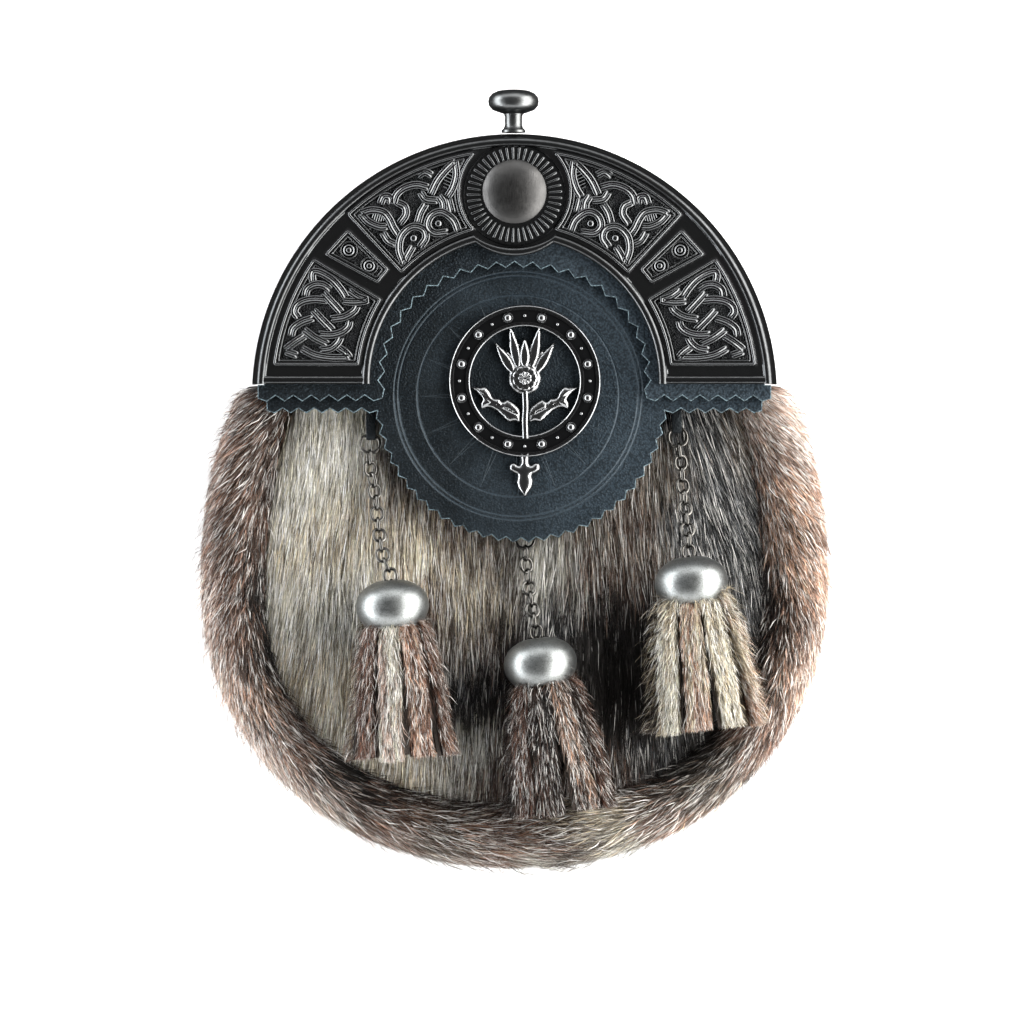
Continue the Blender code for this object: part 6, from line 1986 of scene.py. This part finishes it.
def build_staple(row):
    """The wire bow that holds the tassel's head to the last link of its chain, with the head's plug."""
    down, across = lean_directions(row)
    top = bell_top(row)
    route, inside, middles = chain_plan(row)
    centre = Vector(place_on_route(route, middles[-1])[0])
    last_is_flat = (len(middles) - 1) % 2 == 0
    spread = Vector((0.0, 0.0, 1.0)) if last_is_flat else across
    bow = (centre - top).dot(down) + inside / 2 - TOUCH_GAP - STAPLE["radius"]
    half_bow = ((-1, STAPLE["foot"] + 2), (-1, bow + 0.9), (-0.7, bow + 0.15))
    path = []
    for side, along in half_bow + ((0, bow),) + tuple((-side, along) for side, along in reversed(half_bow)):
        path.append(top + spread * side * STAPLE["half_gap"] + down * along)
    wire = plane_tube(spline(path, 5), STAPLE["radius"], STAPLE["sides"])
    plug = turned(TASSEL_HEAD_ROUND, 40, place_on_tassel(row, top))
    points, faces = joined([wire, plug])
    slots = [0] * len(wire[1]) + [1] * len(plug[1])
    staple = add_piece("staple_" + row["name"], points, faces, [CHAIN_METAL, FLESH_SIDE], slots, crease=50)


def plane_tube(path, radius, sides):
    """A round body along a path in any plane."""
    path = np.asarray(path, float)
    heading = np.gradient(path, axis=0)
    heading /= np.linalg.norm(heading, axis=1, keepdims=True)
    side = np.cross(heading[0], heading[len(path) // 2])
    side /= np.linalg.norm(side)
    angle = 2 * np.pi * np.arange(sides) / sides
    rings = []
    for spot, way in zip(path, heading):
        across = side - way * (side @ way)
        across /= np.linalg.norm(across)
        up = np.cross(way, across)
        rings.append(spot + radius * (np.cos(angle)[:, None] * across + np.sin(angle)[:, None] * up))
    faces = grid_faces(len(path), sides, round_columns=True).tolist()
    return np.concatenate(rings), faces + end_caps(len(path), sides)


# ---------------------------------------------------------------- stitches on the back

STITCH = {"pitch": 3.6, "length": 2.5, "radius": 0.32, "from_edge": 3.0, "dip": 0.28, "low": 0.05, "sides": 6}
# The rows of stitches on a keeper's foot: from its sides, and above its lower edge
KEEPER_STITCHES = {"inset": 1.6, "y": (1.3, 4.9)}


def stitch(start, end, height):
    """One stitch on the back: a thread that dips into the leather at both ends."""
    shares = np.linspace(0, 1, 6)
    plan = np.array(start) + (np.array(end) - start) * shares[:, None]
    to_end = (2 * shares - 1) ** 4
    path = np.concatenate([plan, (height + STITCH["dip"] * to_end)[:, None]], axis=1)
    return tube(path, STITCH["radius"] * np.sqrt(1 - 0.75 * to_end), STITCH["sides"])


def stitch_line(line, height):
    """Stitches along a line of the plan."""
    line = np.asarray(line, float)
    starts = np.arange(int(line_lengths(line)[-1] // STITCH["pitch"])) * STITCH["pitch"]
    ends = along_line(line, starts + STITCH["length"])
    return [stitch(start, end, height - STITCH["low"]) for start, end in zip(along_line(line, starts), ends)]


def build_stitches():
    """The threads round the back panel and on the keepers' feet."""
    depth = (BACK_EDGE_DEPTH + STITCH["from_edge"]) / GUSSET_SEAM_DEPTH
    edge = [between(*bag_edge(share), depth) for share in np.arange(161) / 160]
    top = arc(0.0, RING_Y, TOP_EDGE_RADIUS - STITCH["from_edge"], 175.0, 5.0, 80)
    bodies = stitch_line(edge, BACK_LOW_Z) + stitch_line(top, BACK_LOW_Z)
    reach = KEEPER["width"] / 2 - KEEPER_STITCHES["inset"]
    for side in (1, -1):
        for foot in KEEPER_FEET:
            left, right = side * KEEPER["x"] - reach, side * KEEPER["x"] + reach
            low, high = (foot + rise for rise in KEEPER_STITCHES["y"])
            box = ((left, low), (right, low), (right, high), (left, high), (left, low))
            bodies += stitch_line(box, BACK_LOW_Z - TOUCH_GAP - KEEPER["thick"])
    points, faces = joined(bodies)
    threads = add_piece("back_stitches", points, faces, [THREAD])


# ---------------------------------------------------------------- floor, light and camera

# The floor and the soft boxes, in metres and watts
FLOOR = {"half_size": 4.0, "z": -0.0002, "grey": 0.86, "glow": 0.55}
SOFT_BOXES = (
    {"name": "left_box", "at": (-1.0, 0.0, 0.22), "size": (2.2, 0.5), "watts": 31, "tint": (0.96, 0.98, 1.0)},
    {"name": "right_box", "at": (0.95, 0.0, 0.42), "size": (2.2, 1), "watts": 60, "tint": (1.0, 0.985, 0.96)},
    {"name": "head_box", "at": (0.0, 1.15, 0.5), "size": (1.8, 0.7), "watts": 9, "tint": (1.0, 1.0, 1.0)},
    {"name": "foot_box", "at": (0.0, -1.15, 0.45), "size": (1.8, 0.6), "watts": 9, "tint": (1.0, 1.0, 1.0)},
)
LIGHTS_AIM = (0.0, 0.0, 0.03)


def build_floor():
    """A pale sheet, lit a little from within, just below the object's back."""
    grey, white = (FLOOR["grey"],) * 3 + (1.0,), (1.0, 1.0, 1.0, 1.0)
    glow = {"Emission_Color": white, "Emission_Strength": FLOOR["glow"]}
    material = new_material("floor_white", Roughness=0.9, Base_Color=grey, **glow)[0]
    mesh = bpy.data.meshes.new("floor")
    half = FLOOR["half_size"]
    corners = [(-half, -half, 0), (half, -half, 0), (half, half, 0), (-half, half, 0)]
    mesh.from_pydata(corners, [], [(0, 1, 2, 3)])
    mesh.materials.append(material)
    floor = bpy.data.objects.new("floor", mesh)
    floor.location.z = FLOOR["z"]
    floor.visible_glossy = False
    bpy.context.scene.collection.objects.link(floor)


def build_lights():
    for box in SOFT_BOXES:
        lamp = bpy.data.lights.new(box["name"], "AREA")
        lamp.shape = "RECTANGLE"
        lamp.size, lamp.size_y = box["size"]
        lamp.energy = box["watts"]
        lamp.color = box["tint"]
        obj = bpy.data.objects.new(box["name"], lamp)
        obj.location = box["at"]
        aim = Vector(LIGHTS_AIM) - obj.location
        obj.rotation_euler = aim.to_track_quat("-Z", "Y").to_euler()
        bpy.context.scene.collection.objects.link(obj)


def build_world():
    """A dark studio ceiling: dim overhead, paler towards the horizon and at the knob's end."""
    world = bpy.data.worlds.new("studio")
    bpy.context.scene.world = world
    world.use_nodes = True
    tree = world.node_tree
    tree.nodes.clear()
    where = add_node(tree, "TexCoord").outputs["Generated"]
    parts = add_node(tree, "SeparateXYZ", {0: where}).outputs
    tone = ramp(tree, parts[2], ((0.0, 0.04), (0.06, 0.24), (0.4, 0.2), (0.8, 0.1), (1.0, 0.07)))
    strength = number(tree, "MULTIPLY_ADD", parts[1], 0.8, 1.0)
    background = add_node(tree, "Background", {"Color": tone, "Strength": strength})
    output = add_node(tree, "OutputWorld")
    tree.links.new(background.outputs[0], output.inputs["Surface"])


def build_camera():
    camera = bpy.data.cameras.new("camera")
    camera.sensor_width = VIEW["sensor"]
    camera.lens = VIEW["sensor"] * VIEW["distance"] / VIEW["width"]
    camera.clip_end = 20.0
    obj = bpy.data.objects.new("camera", camera)
    obj.location = (VIEW["x"] * MM, VIEW["y"] * MM, (VIEW["sharp_z"] + VIEW["distance"]) * MM)
    bpy.context.scene.collection.objects.link(obj)
    bpy.context.scene.camera = obj


def build():
    build_gusset_hide()
    build_gusset_fur()
    build_front_hide()
    build_front_fur()
    leather_copy("back_leather", "back_panel", 0.4, FACE_LEATHER)
    for side in ("left", "right"):
        leather_copy("side_band_" + side, "top_gusset_" + side, 0.4, FACE_LEATHER)
        leather_copy("keeper_" + side, "strap_keeper_" + side, 0.3, FACE_LEATHER)
    build_flap()
    build_cantle_backing()
    build_cantle()
    build_cantle_work()
    build_boss()
    build_knob()
    build_badge()
    for place, row in enumerate(TASSELS):
        leather_copy("tab_" + row["name"], "chain_loop_" + row["name"], 0.25, TAB_LEATHER)
        build_chain(row, 70 + place)
        build_bell(row)
        build_tassel(row, TASSEL_FUR["seed"] + 10 * place)
        build_staple(row)
    build_stitches()
    build_floor()
    build_lights()
    build_world()
    build_camera()
    bpy.context.scene.view_settings.view_transform = "Standard"


build()
